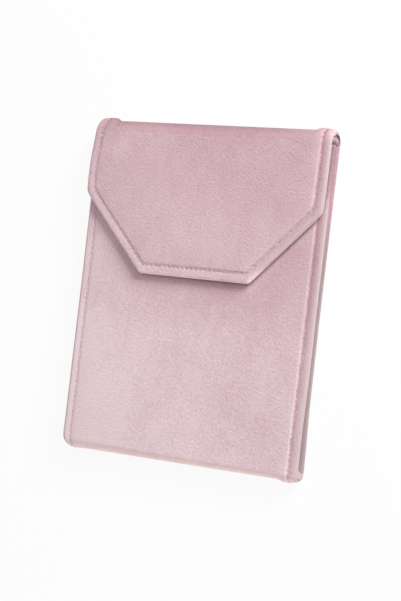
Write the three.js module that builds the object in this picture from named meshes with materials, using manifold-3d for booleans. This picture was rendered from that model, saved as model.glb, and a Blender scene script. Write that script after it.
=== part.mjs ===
// Velvet necklace pouch that folds in three, shut and lying on its back.
// Millimetres: X runs across the pouch, Y towards the top fold and Z out of the front.
// The origin is the middle of the shut pouch, on the surface under its back panel.

import * as THREE from 'three';
import { mergeVertices } from 'three/addons/utils/BufferGeometryUtils.js';
import Module from 'manifold-3d';

const wasm = await Module();
wasm.setup();

// Panels
const POUCH_WIDTH = 140;
const BACK_LENGTH = 166;
const FRONT_SHORTER = 0.4;
const FLAP_LENGTH = 73.8;
const FLAP_SIDE = 34.5;
const FLAP_TIP_WIDTH = 65;
const PANEL_CORNER = 4;
const FLAP_CORNER = 3;
const SIDE_BOW = 0.6;
const BOW_POINTS = 5;

// Layers of one panel, from the outer velvet in
const VELVET = 0.9;
const FOAM = 0.7;
const BOARD = 1.0;
const LINING = 0.75;
const LAYER_GAP = 0.05;

// Spaces in the shut pouch
const NECKLACE_SPACE = 4.9;
const FLAP_GAP = 0.3;
const FIT = 0.3;

// Edges: the velvet turns in over the lining and is stitched down
const HEM_WIDTH = 10;
const STITCH_INSET = 5;
const STITCH_DEPTH = 0.7;
const INNER_STITCH_DEPTH = 0.35;
const PAD_EDGE = 2.4;
const BORDER_DROP = 0.25;
const CORE_INSET = 6.2;
const CORE_CORNER = 2;

// Folds: thicker at both ends, where the turned-in hems double up
const TOP_FOLD_REACH = 8.8;
const BOTTOM_FOLD_REACH = 6.2;
const FOLD_DIP = 1.4;
const HEM_EASE = 3;
const FOLD_SETBACK = 2;
const FOLD_STEPS = 10;

// Hidden magnets that hold the flap shut
const MAGNET_DIAMETER = 12;
const MAGNET_THICKNESS = 1.5;
const MAGNET_SPACING = 40;
const MAGNET_FROM_TIP = 15;

// Pocket on the lower half of the back lining
const POCKET_HEIGHT = 60;
const POCKET_FROM_FOLD = 3;
const POCKET_SIDE = 1.5;
const POCKET_CLOTH = 0.9;
const POCKET_ROOM = 0.6;
const POCKET_SEAM = 3.5;
const POCKET_MOUTH_SAG = 4;
const BINDING_WIDTH = 5;
const BINDING_CLOTH = 0.4;

// Tabs that hold the necklaces, sewn under a strip at the top of the back lining
const TAB_COUNT = 5;
const TAB_FROM_SIDE = 22;
const TAB_WIDTH = 13;
const TAB_LENGTH = 33;
const TAB_CLOTH = 1;
const TAB_RAMP = 9;
const STRIP_FROM_FOLD = 10;
const STRIP_WIDTH = 9;
const STRIP_CLOTH = 0.95;
const STRIP_MARGIN = 2;

// Four-piece snap on each tab
const SNAP_FROM_END = 9;
const CAP_DIAMETER = 10;
const CAP_DOME = 0.85;
const SOCKET_DIAMETER = 8.4;
const SOCKET_HEIGHT = 1.5;
const SOCKET_ROOF = 0.2;
const STUD_BALL = 3.8;
const STUD_NECK = 3.2;
const STUD_RISE = 1.3;
const FLANGE_DIAMETER = 8;
const FLANGE_THICKNESS = 0.5;
const RIVET_DIAMETER = 1.8;
const SNAP_CLEARANCE = 0.4;

// Shares of a size at which its rounded profile has a point
const SHOULDER = { inset: 0.4, depth: 0.3 };
const FOLD_END = [{ inset: 0, drop: 0.6 }, { inset: 0.3, drop: 0.25 }, { inset: 1, drop: 0 }];
const CAP_ROUND = [{ radius: 1, height: 0.45 }, { radius: 0.85, height: 0.85 }, { radius: 0.5, height: 1 }];

// Steps of curves, and the half angle past which a corner is a gentle bend
const ROUND_SEGMENTS = 14;
const CORNER_STEPS = 4;
const ROLL_STEPS = 8;
const GENTLE_HALF_ANGLE = Math.PI * 0.47;

// Least radius of a rounded corner, and how far a cutting shape runs past what it cuts
const LEAST_RADIUS = 0.4;
const OVERRUN = 20;

// Heights inside one panel, from its outer face
const FOAM_BASE = VELVET + LAYER_GAP;
const BOARD_BASE = FOAM_BASE + FOAM + LAYER_GAP;
const LINING_BASE = BOARD_BASE + BOARD + LAYER_GAP;
const PANEL_THICKNESS = LINING_BASE + LINING;

// Places in the shut pouch
const BOTTOM_FOLD_Y = BOTTOM_FOLD_REACH - (BOTTOM_FOLD_REACH + BACK_LENGTH + TOP_FOLD_REACH) / 2;
const TOP_FOLD_Y = BOTTOM_FOLD_Y + BACK_LENGTH;
const FRONT_FACE_Z = 2 * PANEL_THICKNESS + NECKLACE_SPACE;
const FLAP_FACE_Z = FRONT_FACE_Z + FLAP_GAP + PANEL_THICKNESS;
const MAGNET_Y = TOP_FOLD_Y - FLAP_LENGTH + MAGNET_FROM_TIP;
const STRIP_BOTTOM_Y = TOP_FOLD_Y - STRIP_FROM_FOLD - STRIP_WIDTH;
const TAB_ROOT_Y = STRIP_BOTTOM_Y - FIT - TAB_CLOTH / 2;
const SNAP_FROM_ROOT = TAB_LENGTH - SNAP_FROM_END;
const SNAP_Y = TAB_ROOT_Y - SNAP_FROM_ROOT;
const TAB_PITCH = (POUCH_WIDTH - 2 * TAB_FROM_SIDE) / (TAB_COUNT - 1);

// Heights of the snap's pieces above the lining
const FLANGE_TOP = LAYER_GAP + FLANGE_THICKNESS;
const STUD_TOP = FLANGE_TOP + STUD_RISE;
const SOCKET_BASE = FLANGE_TOP + 2 * LAYER_GAP;
const SOCKET_TOP = SOCKET_BASE + SOCKET_HEIGHT;
const STRAP_BASE = SOCKET_TOP + LAYER_GAP;
const STRAP_TOP = STRAP_BASE + TAB_CLOTH;

const VELVET_PINK = { color: 0xd6bac0, roughness: 0.95, metalness: 0 };
const LINING_PINK = { color: 0xcfaeb6, roughness: 0.95, metalness: 0 };
const FOAM_WHITE = { color: 0xeee8e2, roughness: 1, metalness: 0 };
const BOARD_GREY = { color: 0xa89c8c, roughness: 0.9, metalness: 0 };
const BINDING_PINK = { color: 0xbf98a2, roughness: 0.8, metalness: 0 };
const MAGNET_NICKEL = { color: 0xb9bbbd, roughness: 0.3, metalness: 1 };
const SNAP_BRASS = { color: 0xd8b79a, roughness: 0.28, metalness: 1 };

/** A closed mesh as a solid that can be joined and cut. */
function solidOf(geometry) {
  const bare = geometry.clone();
  bare.deleteAttribute('normal');
  bare.deleteAttribute('uv');
  const merged = mergeVertices(bare);
  return new wasm.Manifold(new wasm.Mesh({
    numProp: 3,
    vertProperties: new Float32Array(merged.attributes.position.array),
    triVerts: new Uint32Array(merged.index.array),
  }));
}

/** A joined or cut solid as a geometry again. */
function geometryOf(solid) {
  const mesh = solid.getMesh();
  const geometry = new THREE.BufferGeometry();
  geometry.setAttribute('position', new THREE.BufferAttribute(mesh.vertProperties, 3));
  geometry.setIndex(new THREE.BufferAttribute(mesh.triVerts, 1));
  geometry.computeVertexNormals();
  return geometry;
}

/** One named piece with a material of its own. */
function piece(name, geometry, finish) {
  const mesh = new THREE.Mesh(geometry, new THREE.MeshStandardMaterial(finish));
  mesh.name = name;
  return mesh;
}

/** Moves each edge of an anticlockwise outline inwards by insetOf(start, end). */
function offsetOutline(corners, insetOf) {
  const edges = corners.map((start, i) => {
    const end = corners[(i + 1) % corners.length];
    const along = end.clone().sub(start).normalize();
    const inward = new THREE.Vector2(-along.y, along.x);
    return { from: start.clone().addScaledVector(inward, insetOf(start, end)), along };
  });
  return edges.map((edge, i) => {
    const before = edges[(i + edges.length - 1) % edges.length];
    const gap = edge.from.clone().sub(before.from);
    const reach = gap.cross(edge.along) / before.along.cross(edge.along);
    return before.from.clone().addScaledVector(before.along, reach);
  });
}

/** Rounds the sharp corners of an outline and keeps the points of its gentle bends. */
function roundCorners(corners, radius) {
  return corners.flatMap((corner, i) => {
    const toBefore = corners[(i + corners.length - 1) % corners.length].clone().sub(corner).normalize();
    const toAfter = corners[(i + 1) % corners.length].clone().sub(corner).normalize();
    const half = Math.acos(THREE.MathUtils.clamp(toBefore.dot(toAfter), -1, 1)) / 2;
    if (half > GENTLE_HALF_ANGLE) return [corner.clone()];
    const bisector = toBefore.clone().add(toAfter).normalize();
    const centre = corner.clone().addScaledVector(bisector, radius / Math.sin(half));
    const first = corner.clone().addScaledVector(toBefore, radius / Math.tan(half)).sub(centre);
    const turn = Math.PI - 2 * half;
    return Array.from({ length: CORNER_STEPS + 1 }, (_, step) =>
      first.clone().rotateAround(new THREE.Vector2(), (turn * step) / CORNER_STEPS).add(centre));
  });
}

/** A flat sheet of one outline, with round holes of [x, y, diameter]. */
function sheet(corners, radius, base, thickness, holes = []) {
  const shape = new THREE.Shape(roundCorners(corners, radius));
  for (const [x, y, diameter] of holes) {
    shape.holes.push(new THREE.Path().absarc(x, y, diameter / 2, 0, 2 * Math.PI, true));
  }
  const options = { depth: thickness, bevelEnabled: false, curveSegments: ROUND_SEGMENTS };
  return new THREE.ExtrudeGeometry(shape, options).translate(0, 0, base);
}

/** Closes a row of matching rings into one solid, with a flat face at each end. */
function loft(rings, flatten) {
  const count = rings[0].length;
  const faces = THREE.ShapeUtils.triangulateShape(rings[0].map(flatten), []);
  const lastFaces = THREE.ShapeUtils.triangulateShape(rings.at(-1).map(flatten), []);
  const lastStart = count * (rings.length - 1);
  const index = faces.flatMap(([a, b, c]) => [c, b, a]);
  index.push(...lastFaces.flat().map((corner) => corner + lastStart));
  for (let ring = 0; ring < rings.length - 1; ring += 1) {
    for (let i = 0; i < count; i += 1) {
      const a = ring * count + i;
      const b = ring * count + ((i + 1) % count);
      index.push(a, b, b + count, a, b + count, a + count);
    }
  }
  const geometry = new THREE.BufferGeometry().setFromPoints(rings.flat());
  geometry.setIndex(index);
  geometry.computeVertexNormals();
  return geometry;
}

/** Inset from the edge and height of the cover's skin: pad, stitch line, rolled border, hem. */
function coverProfile() {
  const roll = (PANEL_THICKNESS - BORDER_DROP) / 2;
  const shoulder = STITCH_INSET + PAD_EDGE * SHOULDER.inset;
  const arc = Array.from({ length: ROLL_STEPS + 1 }, (_, step) => {
    const angle = Math.PI * (step / ROLL_STEPS - 0.5);
    return [roll * (1 - Math.cos(angle)), BORDER_DROP + roll * (1 + Math.sin(angle))];
  });
  return [
    [STITCH_INSET + PAD_EDGE, 0],
    [shoulder, STITCH_DEPTH * SHOULDER.depth],
    [STITCH_INSET, STITCH_DEPTH],
    [(STITCH_INSET + roll) / 2, BORDER_DROP + (STITCH_DEPTH - BORDER_DROP) * SHOULDER.depth],
    ...arc,
    [(STITCH_INSET + roll) / 2, PANEL_THICKNESS],
    [STITCH_INSET, PANEL_THICKNESS - INNER_STITCH_DEPTH],
    [shoulder, PANEL_THICKNESS],
  ];
}

/** Points between two corners on a side that is drawn in between its ends. */
function drawnInSide(x, fromY, toY) {
  return Array.from({ length: BOW_POINTS }, (_, i) => {
    const along = (i + 1) / (BOW_POINTS + 1);
    const bow = SIDE_BOW * Math.sin(Math.PI * along);
    return new THREE.Vector2(x - Math.sign(x) * bow, THREE.MathUtils.lerp(fromY, toY, along));
  });
}

/** A rectangular panel between two heights, with its cut outline and its drawn-in outline. */
function rectanglePanel(bottomY, topY, foldLines) {
  const side = POUCH_WIDTH / 2;
  const corners = [[-side, bottomY], [side, bottomY], [side, topY], [-side, topY]]
    .map(([x, y]) => new THREE.Vector2(x, y));
  const [bottomLeft, bottomRight, topRight, topLeft] = corners;
  const outline = [
    bottomLeft, bottomRight, ...drawnInSide(side, bottomY, topY),
    topRight, topLeft, ...drawnInSide(-side, topY, bottomY),
  ];
  return { corners, outline, foldLines, radius: PANEL_CORNER };
}

/** The flap: straight sides below the fold, then slanted to a narrower straight tip. */
function flapPanel() {
  const side = POUCH_WIDTH / 2;
  const tip = FLAP_TIP_WIDTH / 2;
  const corners = [
    [-side, 0], [side, 0], [side, FLAP_SIDE],
    [tip, FLAP_LENGTH], [-tip, FLAP_LENGTH], [-side, FLAP_SIDE],
  ].map(([x, y]) => new THREE.Vector2(x, y));
  return { corners, outline: corners, foldLines: [0], radius: FLAP_CORNER };
}

/** Gives the free edges of a panel one inset and its folded edges another. */
function insetPanel(corners, foldLines, free, folded) {
  const onFold = (start, end) => start.y === end.y && foldLines.includes(start.y);
  return offsetOutline(corners, (start, end) => (onFold(start, end) ? folded : free));
}

/** Velvet cover of a panel: rolled, stitched border round a hollow for the board and lining. */
function panelCover({ corners, outline, foldLines, radius }) {
  const overrun = insetPanel(outline, foldLines, 0, -OVERRUN);
  const rings = coverProfile().map(([inset, z]) =>
    roundCorners(offsetOutline(overrun, () => inset), Math.max(radius - inset, LEAST_RADIUS))
      .map((point) => new THREE.Vector3(point.x, point.y, z)));
  const skin = solidOf(loft(rings, (point) => new THREE.Vector2(point.x, point.y)));
  const trim = insetPanel(corners, foldLines, -OVERRUN, FIT / 2);
  const core = insetPanel(corners, foldLines, CORE_INSET - FIT, -OVERRUN);
  const face = insetPanel(corners, foldLines, HEM_WIDTH, -OVERRUN);
  const trimmed = skin.intersect(solidOf(sheet(trim, LEAST_RADIUS, -OVERRUN, 2 * OVERRUN)));
  const hollow = solidOf(sheet(core, CORE_CORNER, VELVET, LINING_BASE - VELVET));
  const opening = solidOf(sheet(face, CORE_CORNER, BOARD_BASE, OVERRUN));
  return geometryOf(trimmed.subtract(hollow).subtract(opening));
}

/** Foam, board and lining inside a panel's cover. */
function panelCore(name, { corners, foldLines }, coreHoles, liningHoles = []) {
  const core = insetPanel(corners, foldLines, CORE_INSET, FOLD_SETBACK);
  const face = insetPanel(corners, foldLines, HEM_WIDTH + FIT, FIT / 2);
  return [
    piece(`${name}_foam`, sheet(core, CORE_CORNER, FOAM_BASE, FOAM, coreHoles.foam), FOAM_WHITE),
    piece(`${name}_board`, sheet(core, CORE_CORNER, BOARD_BASE, BOARD, coreHoles.board), BOARD_GREY),
    piece(`${name}_lining`, sheet(face, CORE_CORNER, LINING_BASE, LINING, liningHoles), LINING_PINK),
  ];
}

/** A cover with what is inside it. */
function buildPanel(name, panel, coreHoles, liningHoles) {
  const group = new THREE.Group();
  group.add(piece(`${name}_cover`, panelCover(panel), VELVET_PINK));
  group.add(...panelCore(name, panel, coreHoles, liningHoles));
  return group;
}

/** A half-round layer across the pouch, from stations that give its place, skin, depth and dip. */
function foldLayer(stations, reach, rise) {
  const angles = Array.from({ length: FOLD_STEPS + 1 }, (_, i) => Math.PI * (i / FOLD_STEPS - 0.5));
  const arcAt = (x, y, z) => angles.map((angle) =>
    new THREE.Vector3(x, y * Math.cos(angle), z * Math.sin(angle)));
  const rings = stations.map(({ x, outer, inner }) => [
    ...arcAt(x, reach - outer.reach, rise - outer.rise),
    ...arcAt(x, reach - inner.reach, rise - inner.rise).reverse(),
  ]);
  return loft(rings, (point) => new THREE.Vector2(point.y, point.z));
}

/** Repeats stations that are given from one edge at the other edge of the pouch. */
function acrossPouch(fromEdge) {
  const half = POUCH_WIDTH / 2;
  const left = fromEdge.map(({ inset, ...station }) => ({ x: inset - half, ...station }));
  const right = left.map((station) => ({ ...station, x: -station.x })).reverse();
  return [...left, ...right];
}

/** Velvet of a fold: rolled edge, stitch line, doubled hem, then the thin dipped middle. */
function foldCover(reach, rise) {
  const roll = PANEL_THICKNESS / 2;
  const layer = (inset, skin, depth, dip = 0) => ({
    inset,
    outer: { reach: skin + dip, rise: skin },
    inner: { reach: depth + dip, rise: depth },
  });
  const hemmed = (inset, skin) => layer(inset, skin, PANEL_THICKNESS);
  const rounded = (inset, drop) => layer(inset, BORDER_DROP + drop, PANEL_THICKNESS - drop);
  return foldLayer(acrossPouch([
    ...FOLD_END.map(({ inset, drop }) => rounded(roll * inset, roll * drop)),
    hemmed(STITCH_INSET, STITCH_DEPTH),
    hemmed(STITCH_INSET + PAD_EDGE, 0),
    hemmed(HEM_WIDTH, 0),
    layer(HEM_WIDTH + HEM_EASE, 0, VELVET, FOLD_DIP),
  ]), reach, rise);
}

/** Lining of a fold, flush with the panels' linings and close to the velvet at its middle. */
function foldLining(reach, rise) {
  const skin = FOLD_DIP + VELVET + FIT;
  return foldLayer(acrossPouch([{
    inset: HEM_WIDTH + HEM_EASE + FIT,
    outer: { reach: skin, rise: LINING_BASE },
    inner: { reach: skin + LINING, rise: PANEL_THICKNESS },
  }]), reach, rise);
}

/** Velvet and lining of one fold, which starts a fit away from the panels' cut edges. */
function buildFold(name, reach, faceZ) {
  const group = new THREE.Group();
  const rise = faceZ / 2;
  group.add(piece(`${name}_cover`, foldCover(reach - FIT, rise), VELVET_PINK));
  group.add(piece(`${name}_lining`, foldLining(reach - FIT, rise), LINING_PINK));
  return group;
}

/** The holes that a pair of magnets needs at one height of a panel. */
function magnetHoles(y) {
  return [-1, 1].map((side) => [side * MAGNET_SPACING / 2, y, MAGNET_DIAMETER + 2 * FIT]);
}

/** A pair of disc magnets between a panel's velvet and lining. */
function buildMagnets(name, y) {
  return ['left', 'right'].map((side, i) => {
    const disc = new THREE.CylinderGeometry(
      MAGNET_DIAMETER / 2, MAGNET_DIAMETER / 2, MAGNET_THICKNESS, 2 * ROUND_SEGMENTS);
    const magnet = piece(`${name}_magnet_${side}`, disc, MAGNET_NICKEL);
    magnet.rotation.x = Math.PI / 2;
    magnet.position.set((i - 0.5) * MAGNET_SPACING, y, FOAM_BASE + MAGNET_THICKNESS / 2);
    return magnet;
  });
}

/** A turned piece about the Z axis from its [radius, height] profile. */
function turned(profile) {
  const points = profile.map(([radius, height]) => new THREE.Vector2(radius, height));
  return new THREE.LatheGeometry(points, ROUND_SEGMENTS).rotateX(Math.PI / 2);
}

/** Outline of the pocket: straight bottom and sides, with a mouth that dips in the middle. */
function pocketOutline(inset, lower = 0) {
  const side = POUCH_WIDTH / 2 - HEM_WIDTH - FIT - POCKET_SIDE - inset;
  const bottom = BOTTOM_FOLD_Y + POCKET_FROM_FOLD + inset;
  const top = BOTTOM_FOLD_Y + POCKET_FROM_FOLD + POCKET_HEIGHT - lower;
  const shape = new THREE.Shape();
  shape.moveTo(-side, bottom);
  shape.lineTo(side, bottom);
  shape.lineTo(side, top);
  shape.quadraticCurveTo(0, top - 2 * POCKET_MOUTH_SAG, -side, top);
  return shape;
}

/** Extrudes a drawn outline upwards from a height. */
function raised(shape, base, thickness) {
  const options = { depth: thickness, bevelEnabled: false, curveSegments: ROUND_SEGMENTS };
  return new THREE.ExtrudeGeometry(shape, options).translate(0, 0, base);
}

/** Pocket cloth, sewn to the lining round three sides and standing off it between the seams. */
function pocketPanel() {
  const base = PANEL_THICKNESS + LAYER_GAP;
  const cloth = solidOf(raised(pocketOutline(0), base, POCKET_ROOM + POCKET_CLOTH));
  const beyondMouth = pocketOutline(POCKET_SEAM, -OVERRUN);
  const room = solidOf(raised(beyondMouth, base - OVERRUN, OVERRUN + POCKET_ROOM));
  return geometryOf(cloth.subtract(room));
}

/** Binding sewn along the pocket's mouth, on top of its cloth. */
function pocketBinding() {
  const base = PANEL_THICKNESS + LAYER_GAP + POCKET_ROOM + POCKET_CLOTH + LAYER_GAP;
  const cloth = solidOf(raised(pocketOutline(POCKET_SEAM), base, BINDING_CLOTH));
  const belowBinding = pocketOutline(-OVERRUN, BINDING_WIDTH);
  const rest = solidOf(raised(belowBinding, base - OVERRUN, 2 * OVERRUN));
  return geometryOf(cloth.subtract(rest));
}

/** Strip that covers the sewn ends of the tabs. */
function tabStrip() {
  const side = POUCH_WIDTH / 2 - HEM_WIDTH - FIT - STRIP_MARGIN;
  const corners = [
    [-side, STRIP_BOTTOM_Y], [side, STRIP_BOTTOM_Y],
    [side, STRIP_BOTTOM_Y + STRIP_WIDTH], [-side, STRIP_BOTTOM_Y + STRIP_WIDTH],
  ].map(([x, y]) => new THREE.Vector2(x, y));
  return sheet(corners, LEAST_RADIUS, PANEL_THICKNESS + LAYER_GAP, STRIP_CLOTH);
}

/** Tab cloth: sewn flat at its root, climbing to its snap, with a round end. */
function tabStrap() {
  const half = TAB_CLOTH / 2;
  const root = LAYER_GAP + half;
  const level = STRAP_BASE + half;
  const side = new THREE.Shape();
  side.moveTo(0, root - half);
  side.bezierCurveTo(TAB_RAMP / 2, root - half, TAB_RAMP / 2, level - half, TAB_RAMP, level - half);
  side.lineTo(TAB_LENGTH, level - half);
  side.lineTo(TAB_LENGTH, level + half);
  side.lineTo(TAB_RAMP, level + half);
  side.bezierCurveTo(TAB_RAMP / 2, level + half, TAB_RAMP / 2, root + half, 0, root + half);
  side.absarc(0, root, half, Math.PI / 2, 1.5 * Math.PI, false);
  const options = { depth: TAB_WIDTH, bevelEnabled: false, curveSegments: ROLL_STEPS };
  const upright = new THREE.Matrix4().makeBasis(
    new THREE.Vector3(0, -1, 0), new THREE.Vector3(0, 0, 1), new THREE.Vector3(-1, 0, 0));
  const ribbon = new THREE.ExtrudeGeometry(side, options)
    .translate(0, 0, -TAB_WIDTH / 2).applyMatrix4(upright);
  const radius = TAB_WIDTH / 2;
  const plan = new THREE.Shape();
  plan.moveTo(radius, OVERRUN);
  plan.lineTo(-radius, OVERRUN);
  plan.lineTo(-radius, radius - TAB_LENGTH);
  plan.absarc(0, radius - TAB_LENGTH, radius, Math.PI, 2 * Math.PI, false);
  const hole = new THREE.CylinderGeometry(
    RIVET_DIAMETER / 2 + FIT, RIVET_DIAMETER / 2 + FIT, OVERRUN, ROUND_SEGMENTS)
    .rotateX(Math.PI / 2).translate(0, -SNAP_FROM_ROOT, 0);
  const tongue = solidOf(ribbon).intersect(solidOf(raised(plan, -OVERRUN, 2 * OVERRUN)));
  return geometryOf(tongue.subtract(solidOf(hole)));
}

/** Rivet behind the lining: a flat head with a stem that comes up into the stud. */
function snapPost() {
  const head = -LINING - LAYER_GAP;
  const stem = RIVET_DIAMETER / 2;
  return turned([
    [0, head - FLANGE_THICKNESS], [FLANGE_DIAMETER / 2, head - FLANGE_THICKNESS],
    [FLANGE_DIAMETER / 2, head], [stem, head], [stem, FLANGE_TOP], [0, FLANGE_TOP],
  ]);
}

/** Stud on the lining, hollow from below for the rivet. */
function snapStud() {
  const bore = RIVET_DIAMETER / 2 + FIT;
  const waist = FLANGE_TOP + STUD_RISE / 3;
  return turned([
    [0, FLANGE_TOP + FIT], [bore, FLANGE_TOP + FIT], [bore, LAYER_GAP],
    [FLANGE_DIAMETER / 2, LAYER_GAP], [FLANGE_DIAMETER / 2, FLANGE_TOP],
    [STUD_NECK / 2, FLANGE_TOP], [STUD_NECK / 2, waist],
    [STUD_BALL / 2, (waist + STUD_TOP) / 2], [STUD_NECK / 2, STUD_TOP], [0, STUD_TOP],
  ]);
}

/** Socket under the tab, which the stud's ball snaps into. */
function snapSocket() {
  const bore = STUD_BALL / 2 + SNAP_CLEARANCE;
  const eye = RIVET_DIAMETER / 2 + FIT;
  const ring = SOCKET_DIAMETER / 2;
  return turned([
    [bore, SOCKET_BASE], [ring, SOCKET_BASE], [ring, SOCKET_TOP], [eye, SOCKET_TOP],
    [eye, SOCKET_TOP - SOCKET_ROOF], [bore, SOCKET_TOP - SOCKET_ROOF], [bore, SOCKET_BASE],
  ]);
}

/** Domed cap on the tab, with a stem through the cloth into the socket's roof. */
function snapCap() {
  const base = STRAP_TOP + LAYER_GAP;
  const stem = RIVET_DIAMETER / 2;
  const rim = CAP_DIAMETER / 2;
  return turned([
    [0, SOCKET_TOP - SOCKET_ROOF], [stem, SOCKET_TOP - SOCKET_ROOF], [stem, base], [rim, base],
    ...CAP_ROUND.map(({ radius, height }) => [rim * radius, base + CAP_DOME * height]),
    [0, base + CAP_DOME],
  ]);
}

const tabPlaces = Array.from({ length: TAB_COUNT }, (_, i) => (i - (TAB_COUNT - 1) / 2) * TAB_PITCH);

/** One tab with its four-piece snap, standing on the back lining. */
function buildTab(number, x) {
  const group = new THREE.Group();
  group.position.set(x, TAB_ROOT_Y, PANEL_THICKNESS);
  const snap = new THREE.Group();
  snap.position.y = SNAP_Y - TAB_ROOT_Y;
  snap.add(
    piece(`tab_${number}_post`, snapPost(), SNAP_BRASS),
    piece(`tab_${number}_stud`, snapStud(), SNAP_BRASS),
    piece(`tab_${number}_socket`, snapSocket(), SNAP_BRASS),
    piece(`tab_${number}_cap`, snapCap(), SNAP_BRASS),
  );
  group.add(piece(`tab_${number}_strap`, tabStrap(), VELVET_PINK), snap);
  return group;
}

/** The back panel with its pocket, strip and tabs. */
function buildBack() {
  const panel = rectanglePanel(BOTTOM_FOLD_Y, TOP_FOLD_Y, [BOTTOM_FOLD_Y, TOP_FOLD_Y]);
  const rivetHoles = tabPlaces.map((x) => [x, SNAP_Y, RIVET_DIAMETER + 2 * FIT]);
  const headHoles = tabPlaces.map((x) => [x, SNAP_Y, FLANGE_DIAMETER + 2 * FIT]);
  const group = buildPanel('back', panel, { foam: [], board: headHoles }, rivetHoles);
  group.add(piece('pocket_panel', pocketPanel(), LINING_PINK));
  group.add(piece('pocket_binding', pocketBinding(), BINDING_PINK));
  group.add(piece('tab_strip', tabStrip(), VELVET_PINK));
  tabPlaces.forEach((x, i) => group.add(buildTab(i + 1, x)));
  return group;
}

/** The front panel, turned up over the back panel at the bottom fold. */
function buildFront() {
  const panel = rectanglePanel(FRONT_SHORTER - BACK_LENGTH, 0, [0]);
  const magnetY = BOTTOM_FOLD_Y - MAGNET_Y;
  const holes = magnetHoles(magnetY);
  const group = buildPanel('front', panel, { foam: holes, board: holes });
  group.add(...buildMagnets('front', magnetY));
  group.position.set(0, BOTTOM_FOLD_Y, FRONT_FACE_Z);
  group.rotation.x = Math.PI;
  return group;
}

/** The flap, turned down over the front panel at the top fold. */
function buildFlap() {
  const magnetY = TOP_FOLD_Y - MAGNET_Y;
  const holes = magnetHoles(magnetY);
  const group = buildPanel('flap', flapPanel(), { foam: holes, board: holes });
  group.add(...buildMagnets('flap', magnetY));
  group.position.set(0, TOP_FOLD_Y, FLAP_FACE_Z);
  group.rotation.x = Math.PI;
  return group;
}

const topFold = buildFold('top_fold', TOP_FOLD_REACH, FLAP_FACE_Z);
topFold.position.set(0, TOP_FOLD_Y + FIT, FLAP_FACE_Z / 2);

const bottomFold = buildFold('bottom_fold', BOTTOM_FOLD_REACH, FRONT_FACE_Z);
bottomFold.position.set(0, BOTTOM_FOLD_Y - FIT, FRONT_FACE_Z / 2);
bottomFold.rotation.z = Math.PI;

const pouch = new THREE.Group();
pouch.add(buildBack(), topFold, buildFlap(), bottomFold, buildFront());

export default pouch;
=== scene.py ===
"""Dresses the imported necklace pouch: padded velvet panels, linings, pocket, tabs, snaps and stitching.

Sizes inside the classes are in millimetres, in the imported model's own frame: +X across the pouch,
+Y along it towards the top fold and +Z out of the front panel and flap. Meshes are written in metres.
"""

import logging
import math
from dataclasses import dataclass, field, replace
from enum import Enum
from functools import partial
from typing import Callable

import bpy
import numpy as np
from mathutils import Matrix, Vector


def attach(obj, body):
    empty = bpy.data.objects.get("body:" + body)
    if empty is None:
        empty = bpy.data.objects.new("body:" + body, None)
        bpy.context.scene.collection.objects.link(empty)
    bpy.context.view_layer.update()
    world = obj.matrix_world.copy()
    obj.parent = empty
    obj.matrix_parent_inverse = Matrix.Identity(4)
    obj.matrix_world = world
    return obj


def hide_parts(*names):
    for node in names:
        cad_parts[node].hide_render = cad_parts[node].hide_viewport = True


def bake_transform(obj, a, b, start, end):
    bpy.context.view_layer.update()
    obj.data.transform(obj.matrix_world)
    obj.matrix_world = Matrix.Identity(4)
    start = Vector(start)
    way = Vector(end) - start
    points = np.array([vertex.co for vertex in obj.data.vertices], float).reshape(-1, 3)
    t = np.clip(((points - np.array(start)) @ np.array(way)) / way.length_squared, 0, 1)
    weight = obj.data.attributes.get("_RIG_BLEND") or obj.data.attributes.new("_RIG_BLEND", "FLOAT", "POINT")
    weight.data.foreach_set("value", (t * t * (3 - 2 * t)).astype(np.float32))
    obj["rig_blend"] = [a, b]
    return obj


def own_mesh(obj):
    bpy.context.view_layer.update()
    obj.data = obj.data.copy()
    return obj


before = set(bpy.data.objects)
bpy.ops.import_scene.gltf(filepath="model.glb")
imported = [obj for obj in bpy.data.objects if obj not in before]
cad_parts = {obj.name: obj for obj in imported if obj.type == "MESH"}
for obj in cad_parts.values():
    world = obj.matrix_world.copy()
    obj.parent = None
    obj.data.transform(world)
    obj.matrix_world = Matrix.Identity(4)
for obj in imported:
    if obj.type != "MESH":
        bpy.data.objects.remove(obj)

LOG = logging.getLogger("necklace_pouch")
Array = np.ndarray
Pair = tuple[float, float]
Point = tuple[float, float, float]
MM = 0.001
TINY = 1e-9
FAR = 1e3
# Half the width of the pouch, and where the turned cloth of both folds meets the back, past the fold's end.
HALF_WIDTH = 70.0
TURN_END = 0.5
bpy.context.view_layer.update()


class Slot(Enum):
    """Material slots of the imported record."""

    VELVET = "velvet"
    LINING = "lining"
    BINDING = "binding"
    SNAP = "snap"


class Face(Enum):
    """The two faces of a sewn panel."""

    OUTER = 1
    INNER = -1


class Side(Enum):
    """Which half of a fold a panel leaves from."""

    UPPER = 1
    LOWER = -1


def smoothstep(low: float, high: float, value: Array) -> Array:
    """Goes smoothly from 0 at low to 1 at high, where high may be below low."""
    share = np.clip((value - low) / (high - low), 0.0, 1.0)
    return share * share * (3.0 - 2.0 * share)


def bell(distance: Array, width: float | Array) -> Array:
    """Falls smoothly from 1 at no distance to almost nothing at twice the width."""
    return np.exp(-(distance / width) ** 2)


def soft_min(one: Array, other: Array, width: float) -> Array:
    """The smaller of two values, rounded over a width where they cross."""
    return 0.5 * (one + other - np.sqrt((one - other) ** 2 + width * width))


def lengths_along(points: Array) -> Array:
    """Distances from the first point of a line to each of its points."""
    steps = np.linalg.norm(np.diff(points, axis=0), axis=1)
    return np.concatenate([[0.0], np.cumsum(steps)])


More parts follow.
